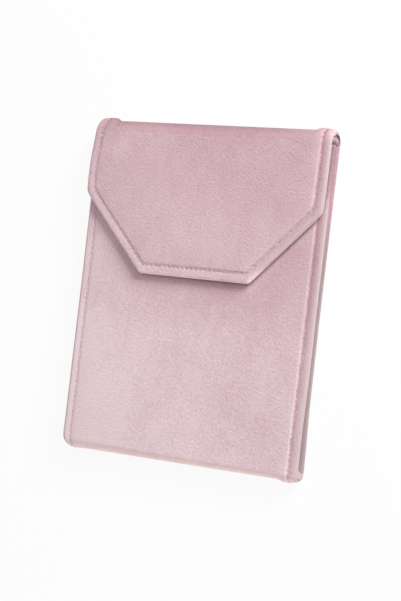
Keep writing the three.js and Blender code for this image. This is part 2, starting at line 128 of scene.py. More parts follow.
def linear(code: str) -> tuple[float, float, float, float]:
    """Turns an sRGB hex code into linear red, green, blue and alpha.

    Args:
        code: Six hex digits after a hash.

    Returns:
        The colour for a shader socket.
    """
    parts = [int(code[i:i + 2], 16) / 255.0 for i in (1, 3, 5)]
    red, green, blue = (p / 12.92 if p <= 0.04045 else ((p + 0.055) / 1.055) ** 2.4 for p in parts)
    return red, green, blue, 1.0


def add_node(tree: bpy.types.NodeTree, kind: str, inputs: dict | None = None,
             stops: dict[float, str] | None = None, **settings: object) -> bpy.types.Node:
    """Adds a node with its settings, and sets or links its inputs.

    Args:
        tree: Tree that gets the node.
        kind: Type name of the node.
        inputs: Values, output sockets or nodes by input name or number; a node gives its first output.
        stops: Colours of a colour ramp by their places along it, in rising order.
        **settings: Attributes of the node itself.

    Returns:
        The new node.
    """
    node = tree.nodes.new(kind)
    for name, value in settings.items():
        setattr(node, name, value)
    for key, value in (inputs or {}).items():
        if isinstance(value, bpy.types.Node):
            value = value.outputs[0]
        if isinstance(value, bpy.types.NodeSocket):
            tree.links.new(value, node.inputs[key])
        else:
            node.inputs[key].default_value = value
    for number, (place, colour) in enumerate((stops or {}).items()):
        elements = node.color_ramp.elements
        stop = elements[number] if number < 2 else elements.new(place)
        stop.position, stop.color = place, linear(colour)
    return node


def add_object(name: str, data: bpy.types.ID) -> bpy.types.Object:
    """Makes an object and puts it in the scene.

    Args:
        name: Name of the object.
        data: Its mesh, lamp or camera.

    Returns:
        The new object.
    """
    made = bpy.data.objects.new(name, data)
    bpy.context.scene.collection.objects.link(made)
    return made


@dataclass(frozen=True)
class Finish:
    """A surface finish, which becomes one material."""

    name: str

    def material(self) -> bpy.types.Material:
        """Makes the material the first time and finds it after that.

        Returns:
            The material.
        """
        found = bpy.data.materials.get(self.name)
        if found is not None:
            return found
        made = bpy.data.materials.new(self.name)
        made.use_nodes = True
        made.node_tree.nodes.clear()
        add_node(made.node_tree, "ShaderNodeOutputMaterial", {"Surface": self.shade(made.node_tree)})
        return made

    def shade(self, tree: bpy.types.NodeTree) -> bpy.types.Node:
        """Builds the shader nodes and returns the last one."""
        raise NotImplementedError


@dataclass(frozen=True)
class PileVelvet(Finish):
    """Short-pile velvet: soft sheen at the turned edges, cloudy where the pile was stroked, fine grain, and
    light and shade painted in from its attributes.
    """

    # Darkest stop, reached mostly where shade is painted: over the top fold and at the right-hand rims.
    fold_shading: str = "#897378"
    deep: str = "#B8989F"
    middle: str = "#D4BAC1"
    pale: str = "#EFDFE3"
    # Grey mixed in at the right-hand edges: painted shade and sheen.
    sheen_shade_grey: str = "#B7ACAA"
    glow: str = "#F6E4E7"
    fold_shading_share: float = 0.2
    cloud_mm: float = 34.0
    cloud_share: float = 0.42
    stroke_mm: float = 7.0
    stroke_share: float = 0.27
    stroke_draw: float = 0.45
    grain_mm: float = 1.15
    grain_share: float = 0.7
    texture_gain: Pair = (1.6, 0.5)
    sheen: float = 0.3

    def shade(self, tree: bpy.types.NodeTree) -> bpy.types.Node:
        """Colours the velvet by its tone, which carries painted light and shade, greys it at the painted
        right-hand edges and gives it grain, bump and sheen.

        Args:
            tree: The material's tree.

        Returns:
            The shader node.
        """
        place, nap, rub = (
            add_node(tree, "ShaderNodeAttribute", attribute_name=name).outputs[output]
            for name, output in (("cloth", "Vector"), ("nap", "Fac"), ("rub", "Fac")))
        cloud = add_node(tree, "ShaderNodeTexNoise", {
            "Vector": place, "Scale": 1.0 / (self.cloud_mm * MM), "Detail": 3.0, "Roughness": 0.55})
        drawn = add_node(tree, "ShaderNodeMapping", {"Vector": place, "Scale": (1.0, self.stroke_draw, 1.0)})
        stroke = add_node(tree, "ShaderNodeTexNoise", {
            "Vector": drawn, "Scale": 1.0 / (self.stroke_mm * MM), "Detail": 4.0,
            "Roughness": 0.6, "Distortion": 0.6})
        # Real pile stands about 0.3 mm apart, under a pixel here, so its grain is drawn coarser.
        grain = add_node(tree, "ShaderNodeTexNoise", {
            "Vector": place, "Scale": 1.0 / (self.grain_mm * MM), "Detail": 2.0, "Roughness": 0.7})
        # Darker tones, painted shade among them, get weaker cloud, stroke and grain than paler ones.
        texture_gain = add_node(tree, "ShaderNodeMath", {0: nap, 1: self.texture_gain[0], 2: self.texture_gain[1]},
                            operation="MULTIPLY_ADD", use_clamp=True)
        tone = nap
        parts = ((cloud, self.cloud_share), (stroke, self.stroke_share), (grain, self.grain_share))
        for source, share in parts:
            offset = add_node(tree, "ShaderNodeMath", {0: source, 1: share, 2: -0.5 * share},
                              operation="MULTIPLY_ADD")
            tone = add_node(tree, "ShaderNodeMath", {0: offset, 1: texture_gain, 2: tone}, operation="MULTIPLY_ADD")
        shifted = add_node(tree, "ShaderNodeMath", {0: tone, 1: 1.0 - self.fold_shading_share, 2: self.fold_shading_share},
                           operation="MULTIPLY_ADD")
        ramp = add_node(tree, "ShaderNodeValToRGB", {"Fac": shifted}, {
            0.0: self.fold_shading, self.fold_shading_share: self.deep, 0.5 + 0.5 * self.fold_shading_share: self.middle,
            1.0: self.pale})
        # Mixes towards a grey at the right-hand edges: painted shade and sheen.
        shown = add_node(tree, "ShaderNodeMix", {0: rub, 6: ramp, 7: linear(self.sheen_shade_grey)}, data_type="RGBA")
        bump = add_node(tree, "ShaderNodeBump", {"Height": grain, "Strength": 0.5, "Distance": 0.5 * MM})
        return add_node(tree, "ShaderNodeBsdfPrincipled", {
            "Base Color": shown.outputs[2], "Roughness": 0.92, "Specular IOR Level": 0.1,
            "Sheen Weight": self.sheen, "Sheen Roughness": 0.38, "Sheen Tint": linear(self.glow),
            "Normal": bump})


@dataclass(frozen=True)
class BrushedLining(Finish):
    """Brushed microfibre lining: matt, finely fibrous along its length, with a faint bloom."""

    dark: str = "#B98F9A"
    light: str = "#CFAEB6"
    bloom: str = "#F2DDE1"
    fibre_mm: float = 0.9
    fibre_draw: float = 0.22
    cloud_mm: float = 22.0
    cloud_share: float = 0.45

    def shade(self, tree: bpy.types.NodeTree) -> bpy.types.Node:
        """Streaks the lining along its length and clouds it a little.

        Args:
            tree: The material's tree.

        Returns:
            The shader node.
        """
        place = add_node(tree, "ShaderNodeAttribute", attribute_name="cloth").outputs["Vector"]
        drawn = add_node(tree, "ShaderNodeMapping", {"Vector": place, "Scale": (1.0, self.fibre_draw, 1.0)})
        fibre = add_node(tree, "ShaderNodeTexNoise", {
            "Vector": drawn, "Scale": 1.0 / (self.fibre_mm * MM), "Detail": 3.0})
        cloud = add_node(tree, "ShaderNodeTexNoise", {
            "Vector": place, "Scale": 1.0 / (self.cloud_mm * MM), "Detail": 2.0})
        mixed = add_node(tree, "ShaderNodeMix", {0: self.cloud_share, 2: fibre, 3: cloud}, data_type="FLOAT")
        ramp = add_node(tree, "ShaderNodeValToRGB", {"Fac": mixed}, {0.25: self.dark, 0.75: self.light})
        bump = add_node(tree, "ShaderNodeBump", {"Height": fibre, "Strength": 0.3, "Distance": 0.2 * MM})
        return add_node(tree, "ShaderNodeBsdfPrincipled", {
            "Base Color": ramp, "Roughness": 0.85, "Specular IOR Level": 0.2, "Sheen Weight": 0.2,
            "Sheen Roughness": 0.5, "Sheen Tint": linear(self.bloom), "Normal": bump})


@dataclass(frozen=True)
class ThreadBands(Finish):
    """A finish of laid threads; one band of the wave is one thread."""

    dark: str
    light: str
    thread_mm: float
    bands_per_scale: float = 0.05

    def bands(self, tree: bpy.types.NodeTree, place: bpy.types.NodeSocket, way: str,
              wave: dict[str, float]) -> tuple[bpy.types.NodeSocket, bpy.types.Node]:
        """Lays the threads and colours them.

        Args:
            tree: The material's tree.
            place: Where the pattern is read.
            way: Direction of the bands.
            wave: More inputs of the wave.

        Returns:
            Height of the threads, and their colour ramp.
        """
        scale = self.bands_per_scale / (self.thread_mm * MM)
        height = add_node(tree, "ShaderNodeTexWave", {"Vector": place, "Scale": scale, **wave},
                          bands_direction=way).outputs["Fac"]
        ramp = add_node(tree, "ShaderNodeValToRGB", {"Fac": height}, {0.0: self.dark, 1.0: self.light})
        return height, ramp


@dataclass(frozen=True)
class SatinRibbon(ThreadBands):
    """Woven satin ribbon: long floats that shine across the weave."""

    def shade(self, tree: bpy.types.NodeTree) -> bpy.types.Node:
        """Lays fine threads across the ribbon and gives them a soft gloss.

        Args:
            tree: The material's tree.

        Returns:
            The shader node.
        """
        place = add_node(tree, "ShaderNodeAttribute", attribute_name="cloth").outputs["Vector"]
        weave, ramp = self.bands(tree, place, "Y", {"Distortion": 1.5, "Detail": 1.0})
        bump = add_node(tree, "ShaderNodeBump", {"Height": weave, "Strength": 0.2, "Distance": 0.1 * MM})
        return add_node(tree, "ShaderNodeBsdfPrincipled", {
            "Base Color": ramp, "Roughness": 0.42, "Anisotropic": 0.5, "Normal": bump})


@dataclass(frozen=True)
class SewingThread(ThreadBands):
    """Twisted polyester thread: a slightly glossy strand with a visible ply."""

    def shade(self, tree: bpy.types.NodeTree) -> bpy.types.Node:
        """Bands the strand by its ply.

        Args:
            tree: The material's tree.

        Returns:
            The shader node.
        """
        place = add_node(tree, "ShaderNodeTexCoord").outputs["Object"]
        _, ramp = self.bands(tree, place, "DIAGONAL", {"Distortion": 2.0})
        return add_node(tree, "ShaderNodeBsdfPrincipled", {
            "Base Color": ramp, "Roughness": 0.6, "Specular IOR Level": 0.3})


@dataclass(frozen=True)
class GreyBoard(Finish):
    """Recycled grey board: flecked, matt and slightly rough."""

    dark: str = "#9A8F81"
    light: str = "#B7AC9D"
    fleck_mm: float = 1.6

    def shade(self, tree: bpy.types.NodeTree) -> bpy.types.Node:
        """Flecks the board.

        Args:
            tree: The material's tree.

        Returns:
            The shader node.
        """
        place = add_node(tree, "ShaderNodeTexCoord").outputs["Object"]
        fleck = add_node(tree, "ShaderNodeTexNoise", {
            "Vector": place, "Scale": 1.0 / (self.fleck_mm * MM), "Detail": 5.0, "Roughness": 0.75})
        ramp = add_node(tree, "ShaderNodeValToRGB", {"Fac": fleck}, {0.0: self.dark, 1.0: self.light})
        bump = add_node(tree, "ShaderNodeBump", {"Height": fleck, "Strength": 0.3, "Distance": 0.1 * MM})
        return add_node(tree, "ShaderNodeBsdfPrincipled", {
            "Base Color": ramp, "Roughness": 0.9, "Normal": bump})


@dataclass(frozen=True)
class PlatedMetal(Finish):
    """Barrel-plated metal: bright, with hair-fine handling marks that vary its gloss."""

    colour: str = "#C9C7C4"
    gloss: float = 0.18
    gloss_spread: Pair = (0.6, 1.6)
    mark_mm: float = 2.5
    mark_range: Pair = (0.3, 0.7)

    def shade(self, tree: bpy.types.NodeTree) -> bpy.types.Node:
        """Varies the plating's gloss by handling marks.

        Args:
            tree: The material's tree.

        Returns:
            The shader node.
        """
        place = add_node(tree, "ShaderNodeTexCoord").outputs["Object"]
        marks = add_node(tree, "ShaderNodeTexNoise", {
            "Vector": place, "Scale": 1.0 / (self.mark_mm * MM), "Detail": 6.0, "Roughness": 0.7})
        rough = add_node(tree, "ShaderNodeMapRange", {
            "Value": marks, "From Min": self.mark_range[0], "From Max": self.mark_range[1],
            "To Min": self.gloss * self.gloss_spread[0], "To Max": self.gloss * self.gloss_spread[1]})
        return add_node(tree, "ShaderNodeBsdfPrincipled", {
            "Base Color": linear(self.colour), "Metallic": 1.0, "Roughness": rough})


@dataclass(frozen=True)
class PaperFloor(Finish):
    """White paper sweep: pure white to the eye, with the pouch's soft shadow kept on it."""

    paper: str = "#FAFAF9"
    white: str = "#FFFFFF"
    white_share: float = 0.92
    tooth_mm: float = 2.5

    def shade(self, tree: bpy.types.NodeTree) -> bpy.types.Node:
        """Mixes lit paper with plain white for the rays that look at it.

        Args:
            tree: The material's tree.

        Returns:
            The shader node.
        """
        path = add_node(tree, "ShaderNodeLightPath").outputs
        seen = add_node(tree, "ShaderNodeMath", {0: path["Is Camera Ray"], 1: path["Is Glossy Ray"]},
                        operation="MAXIMUM")
        share = add_node(tree, "ShaderNodeMath", {0: seen, 1: self.white_share}, operation="MULTIPLY")
        place = add_node(tree, "ShaderNodeTexCoord").outputs["Object"]
        tooth = add_node(tree, "ShaderNodeTexNoise", {
            "Vector": place, "Scale": 1.0 / (self.tooth_mm * MM), "Detail": 3.0})
        bump = add_node(tree, "ShaderNodeBump", {"Height": tooth, "Strength": 0.02})
        paper = add_node(tree, "ShaderNodeBsdfDiffuse", {"Color": linear(self.paper), "Normal": bump})
        white = add_node(tree, "ShaderNodeEmission", {"Color": linear(self.white), "Strength": 1.0})
        return add_node(tree, "ShaderNodeMixShader", {0: share, 1: paper, 2: white})


VELVET = PileVelvet("blush_pile_velvet")
LINING = BrushedLining("brushed_microfibre_lining")
RIBBON = SatinRibbon("woven_satin_ribbon", dark="#A77B87", light="#C29AA5", thread_mm=0.5)
THREAD = SewingThread("twisted_sewing_thread", dark="#C09DA6", light="#D6BAC1", thread_mm=0.7)
BOARD = GreyBoard("recycled_grey_board")
NICKEL = PlatedMetal("nickel_plated_magnet")
ROSE_GOLD = PlatedMetal("rose_gold_plated_brass", colour="#E0B49E", gloss=0.2)
PAPER = PaperFloor("white_paper_sweep")


class Shell:
    """Points and faces of one closed piece, collected in millimetres."""

    def __init__(self) -> None:
        """Starts empty."""
        self.count = 0
        self._points: list[Array] = []
        self._faces: list[list[int]] = []
        self._flat: list[bool] = []
        self._rings: list[Array] = []

    def points(self, block: Array) -> Array:
        """Adds points.

        Args:
            block: Points in an array of any shape that ends in three.

        Returns:
            Their numbers, in the block's own shape.
        """
        flat = block.reshape(-1, 3)
        index = np.arange(self.count, self.count + len(flat)).reshape(block.shape[:-1])
        self._points.append(flat)
        self.count += len(flat)
        return index

    def grid(self, index: Array, flip: bool = False) -> None:
        """Adds the quads of a grid of point numbers, turned the other way where flip says so."""
        quads = np.stack([index[:-1, :-1], index[:-1, 1:], index[1:, 1:], index[1:, :-1]], -1).reshape(-1, 4)
        self._add((quads[:, ::-1] if flip else quads).tolist(), False)

    def seam(self, outer: Array, inner: Array, flip: bool) -> None:
        """Closes the piece between a row of its outer face and a row of its inner face.

        Args:
            outer: Point numbers of the outer row.
            inner: Point numbers of the inner row.
            flip: Whether the faces turn the other way.
        """
        faces = []
        for a, b, c, d in zip(outer[:-1], outer[1:], inner[1:], inner[:-1]):
            face = [int(a), int(b), int(c), int(d)]
            kept = [p for i, p in enumerate(face) if p != face[i - 1]]
            faces.append(kept[::-1] if flip else kept)
        self._add(faces, True)
        self._rings.append(np.concatenate([outer, inner]))

    def fan(self, pole: int, row: Array, flip: bool) -> None:
        """Closes a ring, whose first point is repeated at its end, with triangles round a pole."""
        faces = [[pole, int(a), int(b)] for a, b in zip(row[:-1], row[1:])]
        self._add([f[::-1] for f in faces] if flip else faces, False)

    def _add(self, faces: list[list[int]], flat: bool) -> None:
        """Adds faces, flat or smooth."""
        self._faces.extend(faces)
        self._flat.extend([flat] * len(faces))

    def build(self, name: str, finish: Finish, pile: dict[str, Array] | None = None) -> bpy.types.Object:
        """Makes the object, with its faces outward.

        Args:
            name: Name of the piece.
            finish: Its finish.
            pile: Values at each point by attribute name, where the finish reads them.

        Returns:
            The new object.
        """
        points = np.concatenate(self._points) * MM
        used = np.unique(np.concatenate([np.asarray(f) for f in self._faces]))
        number = np.full(len(points), -1)
        number[used] = np.arange(len(used))
        faces = [[int(number[p]) for p in f] for f in self._faces]
        kept = points[used]
        if self._volume(kept, faces) < 0.0:
            faces = [f[::-1] for f in faces]
        mesh = bpy.data.meshes.new(name)
        mesh.from_pydata(kept, [], faces)
        mesh.polygons.foreach_set("use_smooth", [not f for f in self._flat])
        if self._rings:
            self._sharpen(mesh, number[np.concatenate(self._rings)])
        cloth = mesh.attributes.new("cloth", "FLOAT_VECTOR", "POINT")
        cloth.data.foreach_set("vector", kept.astype(np.float32).ravel())
        for key, values in (pile or {}).items():
            layer = mesh.attributes.new(key, "FLOAT", "POINT")
            layer.data.foreach_set("value", values[used].astype(np.float32))
        mesh.materials.append(finish.material())
        mesh.update()
        return add_object(name, mesh)

    @staticmethod
    def _volume(points: Array, faces: list[list[int]]) -> float:
        """Signed volume inside the faces.

        Args:
            points: Points of the piece.
            faces: Point numbers of its faces.

        Returns:
            The volume, below 0 where the faces point inward.
        """
        fans = np.array([[f[0], f[i], f[i + 1]] for f in faces for i in range(1, len(f) - 1)])
        a, b, c = (points[fans[:, i]] for i in range(3))
        return float((a * np.cross(b, c)).sum() / 6.0)

    @staticmethod
    def _sharpen(mesh: bpy.types.Mesh, ring: Array) -> None:
        """Keeps the edges of the seam faces sharp.

        Args:
            mesh: Mesh of the piece.
            ring: Point numbers of the seams.
        """
        ends = np.empty(2 * len(mesh.edges), np.int32)
        mesh.edges.foreach_get("vertices", ends)
        both = np.isin(ends.reshape(-1, 2), ring).all(1)
        mesh.edges.foreach_set("use_edge_sharp", both)


@dataclass(frozen=True)
class FoldEnds:
    """How a cover lies over a fold, with its middle set back and its hems thick at both ends.

    The hem's rise and the end's drop are given for the left and the right end.
    """

    hem_rise: Pair
    hem_slope: Pair
    end_drop: Pair
    tilt: float = 0.0
    dip: float = 1.4
    end_round: float = 7.0
    bunch: float = 0.6
    bunch_slope: Pair = (6.5, 9.8)
    groove_lost: float = 0.3


@dataclass(frozen=True)
class Section:
    """Cross-section of a sewn sheet: depths are measured in from its nominal outer face."""

    thickness: float
    edge_round: float
    edge_level: float = 0.5
    edge_power: float = 2.2

    def _turned(self, inset: Array) -> Array:
        """Share of the thickness on either side of the edge's line that is left at an inset from it."""
        rest = 1.0 - np.clip(inset / self.edge_round, 0.0, 1.0)
        return np.sqrt(np.maximum(1.0 - rest ** self.edge_power, 0.0))

    def depth(self, face: Face, inset: Array, x: Array) -> Array:
        """Depth of a face at an inset from the edge and a place across."""
        level = self.edge_level * self.thickness
        return level - (level if face is Face.OUTER else level - self.thickness) * self._turned(inset)

    def fold_extra(self, face: Face, inset: Array, x: Array) -> Array:
        """How much deeper a face lies at the middle of a fold."""
        return np.zeros_like(inset)


@dataclass(frozen=True)
class CoverSection(Section):
    """Velvet over padding: rolled edge, sewn border, stitch groove, raised field and inner hem."""

    border_drop: float = 0.08
    sag: float = 0.55
    sag_reach: float = 5.5
    stitch_inset: float = 5.0
    stitch_depth: float = 0.4
    groove_outside: float = 1.25
    groove_inside: float = 0.75
    shoulder: float = 1.4
    inner_stitch_depth: float = 0.35
    hem_width: float = 10.0
    hem_step: float = 0.52
    hem_soft: float = 0.15
    left_tension: float = 1.0
    tension_zone: Pair = (-20.0, 55.0)
    ends: FoldEnds | None = None

    def tension(self, x: Array) -> Array:
        """How hard the stitches draw the cloth in at a place across."""
        return self.left_tension + (1.0 - self.left_tension) * smoothstep(*self.tension_zone, x)

    def groove(self, inset: Array) -> Array:
        """Depth share of the stitch groove, steeper on the field's side."""
        away = inset - self.stitch_inset
        return bell(away, np.where(away < 0.0, self.groove_outside, self.groove_inside))

    def fall(self, inset: Array) -> Array:
        """How far the padded field falls towards the border, and the border lies below the field.

        Args:
            inset: Distances in from the edge.

        Returns:
            Depths of the outer face below its nominal place.
        """
        past = np.maximum(inset - self.stitch_inset, 0.0)
        step = self.border_drop * (1.0 - smoothstep(0.0, self.shoulder, past))
        return self.sag * np.exp(-past / self.sag_reach) + step

    def drawn(self, inset: Array, x: Array) -> Array:
        """How deep the stitches draw the outer face in."""
        return self.stitch_depth * self.tension(x) * self.groove(inset)

    def depth(self, face: Face, inset: Array, x: Array) -> Array:
        """Depth of a face at an inset from the edge.

        Args:
            face: Outer or inner face.
            inset: Distances in from the edge.
            x: Places across.

        Returns:
            Depths in from the nominal outer face.
        """
        level = self.edge_level * self.thickness
        turned = self._turned(inset)
        if face is Face.OUTER:
            return level - (level - self.fall(inset)) * turned + self.drawn(inset, x)
        low, high = self.hem_width - self.hem_soft, self.hem_width + self.hem_soft
        hem = self.hem_step * smoothstep(low, high, inset)
        return level + (self.thickness - level) * turned - self.inner_stitch_depth * self.groove(inset) - hem

    def fold_extra(self, face: Face, inset: Array, x: Array) -> Array:
        """How much deeper a face lies at the middle of a fold: field set back outside, hem bunched inside.

        Args:
            face: Outer or inner face.
            inset: Distances in from the edge.
            x: Places across.

        Returns:
            Depths that are added at the fold's outermost line.
        """
        ends = self.ends
        if ends is None:
            return super().fold_extra(face, inset, x)
        if face is Face.INNER:
            return ends.bunch * (1.0 - smoothstep(*ends.bunch_slope, inset))
        rise, drop = (np.where(x < 0.0, *pair) for pair in (ends.hem_rise, ends.end_drop))
        turn = np.clip(1.0 - inset / ends.end_round, 0.0, 1.0)
        hem = rise * (1.0 - smoothstep(*ends.hem_slope, inset)) - drop * (1.0 - np.sqrt(1.0 - turn * turn))
        lost = ends.groove_lost * self.drawn(inset, x)
        return ends.dip + ends.tilt * x / HALF_WIDTH - hem - self.fall(inset) - lost


@dataclass(frozen=True)
class LiningSection(Section):
    """Lining cloth laid in the recess inside the hem, near a panel's inner face."""

    base: float = 3.02

    def depth(self, face: Face, inset: Array, x: Array) -> Array:
        """Depth of a face at an inset from the lining's edge."""
        return self.base + super().depth(face, inset, x)


@dataclass(frozen=True)
class Cut:
    """Slanted corner of the flap on one side."""

    corner_y: float
    tip_x: float
    tip_y: float

    def slant(self, half_width: float) -> float:
        """Growth of the half width for each millimetre away from the tip."""
        return (half_width - self.tip_x) / (self.corner_y - self.tip_y)


@dataclass(frozen=True)
class Outline:
    """Plan outline of a sheet: half width along its length, with bowed sides and slanted corners.

    The right edge is spread outwards by two amounts along its length, and the left one is tucked in at
    one place.
    """

    half_width: float
    inset: float = 0.0
    bow: float = 0.0
    bow_reach: float = 88.0
    spread_low: float = 0.0
    spread_high: float = 0.0
    spread_from: float = 45.0
    spread_to: float = 72.0
    tuck: float = 0.0
    tuck_at: float = 0.0
    tuck_reach: float = 12.5
    left: Cut | None = None
    right: Cut | None = None
    corner_round: float = 1.6

    def edge(self, side: int, y: Array, inset: Array) -> Array:
        """Distance from the middle line to a line inside one edge.

        Args:
            side: -1 for the left edge and 1 for the right edge.
            y: Places along the sheet.
            inset: Distances in from the edge.

        Returns:
            Distances from the middle line, without sign.
        """
        inside = inset + self.inset
        straight = self.half_width - self.bow * (1.0 - np.minimum((y / self.bow_reach) ** 2, 1.0)) - inside
        if side < 0:
            near = np.clip(1.0 - np.abs(y - self.tuck_at) / self.tuck_reach, 0.0, 1.0)
            straight = straight - self.tuck * np.sin(0.5 * np.pi * near) ** 2
        else:
            high = smoothstep(self.spread_from, self.spread_to, y)
            straight = straight + self.spread_low + (self.spread_high - self.spread_low) * high
        cut = self.left if side < 0 else self.right
        if cut is None:
            return straight
        slant = cut.slant(self.half_width)
        slanted = cut.tip_x + slant * (y - cut.tip_y) - inside * math.hypot(1.0, slant)
        return soft_min(straight, slanted, self.corner_round)


@dataclass(frozen=True)
class StitchRow:
    """Places of single stitches, with the way each one runs and the way its face looks."""

    centres: Array
    along: Array
    up: Array

    @staticmethod
    def on_line(points: Array, up: Array, pitch: float, reach: float = 0.3) -> "StitchRow":
        """Spaces stitches along a line.

        Args:
            points: Points of the line.
            up: Direction away from the cloth at each point.
            pitch: Distance from one stitch to the next.
            reach: Distance to either side over which a stitch's direction is taken.

        Returns:
            The stitches of the line.
        """
        length = lengths_along(points)
        at = np.arange(0.5 * pitch, length[-1], pitch)
        centres, ups, ahead, behind = (
            np.stack([np.interp(where, length, values[:, i]) for i in range(3)], -1)
            for where, values in ((at, points), (at, up), (at + reach, points), (at - reach, points)))
        return StitchRow(centres, ahead - behind, ups)


@dataclass
class SewnSheet:
    """A closed sheet of cloth, padded or thin, made from a grid of rows along it and columns across it.

    Unless told otherwise, a place along the sheet is its distance along.
    """

    name: str
    runs: Array
    outline: Outline
    section: Section
    place: Callable[[Array, Array, Array, Array], Array]
    border: Array
    middle: int
    y_of_run: Callable[[Array], Array] = np.asarray
    free_start: bool = False
    free_end: bool = False
    corner: float = 1.0
    pucker: float = 0.0
    pucker_width: float = 1.1
    pitch: float = 2.7
    pile: Callable[[Face, Array, Array, Array], tuple[Array, Array]] | None = None
    points: dict[Face, Array] = field(default_factory=dict)
    x: Array = field(init=False)
    run: Array = field(init=False)
    inset: Array = field(init=False)
    from_end: Array = field(init=False)

    def _grid(self) -> None:
        """Lays out the grid in plan: places across, distances along and insets from the nearest free edge."""
        rows, fine = len(self.runs), len(self.border)
        columns = 2 * fine + self.middle
        run = np.repeat(self.runs[:, None], columns, axis=1)
        level = self.y_of_run(self.runs)[:, None]
        inner_left = -self.outline.edge(-1, level, self.border[-1])
        inner_right = self.outline.edge(1, level, self.border[-1])
        share = np.linspace(0.0, 1.0, self.middle + 2)[1:-1]
        across = np.empty((rows, columns))
        across[:, :fine] = self.border
        across[:, -fine:] = self.border[::-1]
        across[:, fine:-fine] = self.border[-1] + np.minimum(share, 1.0 - share) * (inner_right - inner_left)
        end = np.full_like(run, FAR)
        rounded = np.zeros(run.shape, bool)
        if self.free_end:
            rounded |= self._round(across, run, end, self.runs[-1] - run, -1.0)
        if self.free_start:
            rounded |= self._round(across, run, end, run - self.runs[0], 1.0)
        y = self.y_of_run(run)
        left, right = -self.outline.edge(-1, y, across), self.outline.edge(1, y, across)
        half = columns // 2
        x = np.concatenate([left[:, :half], right[:, half:]], axis=1)
        spread = inner_left + share * (inner_right - inner_left)
        x[:, fine:-fine] = np.where(rounded[:, fine:-fine], x[:, fine:-fine], spread)
        corner = self.corner - np.hypot(self.corner - across, self.corner - end)
        both = (across < self.corner) & (end < self.corner)
        self.x, self.run, self.from_end = x, run, end
        self.inset = np.maximum(np.where(both, corner, np.minimum(across, end)), 0.0)

    def _round(self, across: Array, run: Array, end: Array, gap: Array, way: float) -> Array:
        """Pulls the grid's corners at a free end on to a rounded outline.

        Args:
            across: Distances in from the sides, changed in place.
            run: Distances along, changed in place.
            end: Distances in from the free ends, changed in place.
            gap: Distances in from this end.
            way: 1 at the start and -1 at the end.

        Returns:
            Which grid points were moved.
        """
        size = self.corner
        near = (across < size) & (gap < size)
        a, b = 1.0 - across[near] / size, 1.0 - gap[near] / size
        far = np.maximum(np.maximum(a, b), TINY)
        angle = np.where(a >= b, 0.25 * np.pi * b / far, 0.5 * np.pi - 0.25 * np.pi * a / far)
        moved = gap.copy()
        across[near] = size * (1.0 - far * np.cos(angle))
        moved[near] = size * (1.0 - far * np.sin(angle))
        run += way * (moved - gap)
        np.minimum(end, moved, out=end)
        return near

    def _laid(self, face: Face, pull: Array | float = 0.0) -> Array:
        """Points of a face, drawn in further by a pull."""
        depth = self.section.depth(face, self.inset, self.x) + pull
        return self.place(self.x, self.run, depth, self.section.fold_extra(face, self.inset, self.x))

    def shape(self) -> "SewnSheet":
        """Works out the points of both faces.

        Returns:
            The sheet itself.
        """
        self._grid()
        self.points = {face: self._laid(face) for face in Face}
        if self.pucker > 0.0:
            self._pucker()
        return self

    def _lines(self, inset: float) -> list[tuple[Array, Array]]:
        """Grid rows and columns that a stitch line follows at an inset from the free edges.

        Args:
            inset: Distance of the line from the edge.

        Returns:
            One line where the sheet has a free end, and otherwise one for each side.
        """
        column = int(np.argmin(np.abs(self.border - inset)))
        rows, width = self.x.shape
        if not self.free_end:
            every = np.arange(rows)
            return [(every, np.full(rows, at)) for at in (column, width - 1 - column)]
        row = int(np.argmin(np.abs(self.runs[-1] - self.runs - inset)))
        down = [(i, column) for i in range(row)]
        over = [(row, j) for j in range(column, width - column)]
        back = [(i, width - 1 - column) for i in range(row - 1, -1, -1)]
        i, j = np.array(down + over + back).T
        return [(i, j)]

    def _pucker(self) -> None:
        """Draws the outer face down at the holes between its stitches."""
        stitch = self.section.stitch_inset
        phase = np.zeros_like(self.x)
        half = self.x.shape[1] // 2
        for i, j in self._lines(stitch):
            length = lengths_along(self.points[Face.OUTER][i, j])
            for sides, ends in ((slice(0, half), j == j.min()), (slice(half, None), j == j.max())):
                if ends.any():
                    order = np.argsort(i[ends])
                    along = np.interp(np.arange(len(self.runs)), i[ends][order], length[ends][order])
                    phase[:, sides] = np.where(phase[:, sides] == 0.0, along[:, None], phase[:, sides])
            over = i == i.max()
            if self.free_end:
                across = np.interp(np.arange(self.x.shape[1]), j[over], length[over])
                phase = np.where(self.from_end <= self.inset + TINY, across[None, :], phase)
        pull = self.pucker * self.section.tension(self.x) * np.cos(2.0 * np.pi * phase / self.pitch)
        self.points[Face.OUTER] = self._laid(Face.OUTER, pull * bell(self.inset - stitch, self.pucker_width))

    def build(self, finish: Finish) -> bpy.types.Object:
        """Makes the closed piece.

        Args:
            finish: Its finish.

        Returns:
            The new object.
        """
        shell = Shell()
        outer, inner = (shell.points(self.points[face]) for face in Face)
        inner[:, 0], inner[:, -1] = outer[:, 0], outer[:, -1]
        if self.free_start:
            inner[0] = outer[0]
        if self.free_end:
            inner[-1] = outer[-1]
        shell.grid(outer)
        shell.grid(inner, flip=True)
        if not self.free_start:
            shell.seam(outer[0], inner[0], True)
        if not self.free_end:
            shell.seam(outer[-1], inner[-1], False)
        if self.pile is None:
            return shell.build(self.name, finish)
        tones_and_sheen_shades = zip(*(self.pile(face, self.x, self.run, self.inset) for face in Face))
        return shell.build(self.name, finish, {
            key: np.concatenate(faces).ravel() for key, faces in zip(("nap", "rub"), tones_and_sheen_shades)})

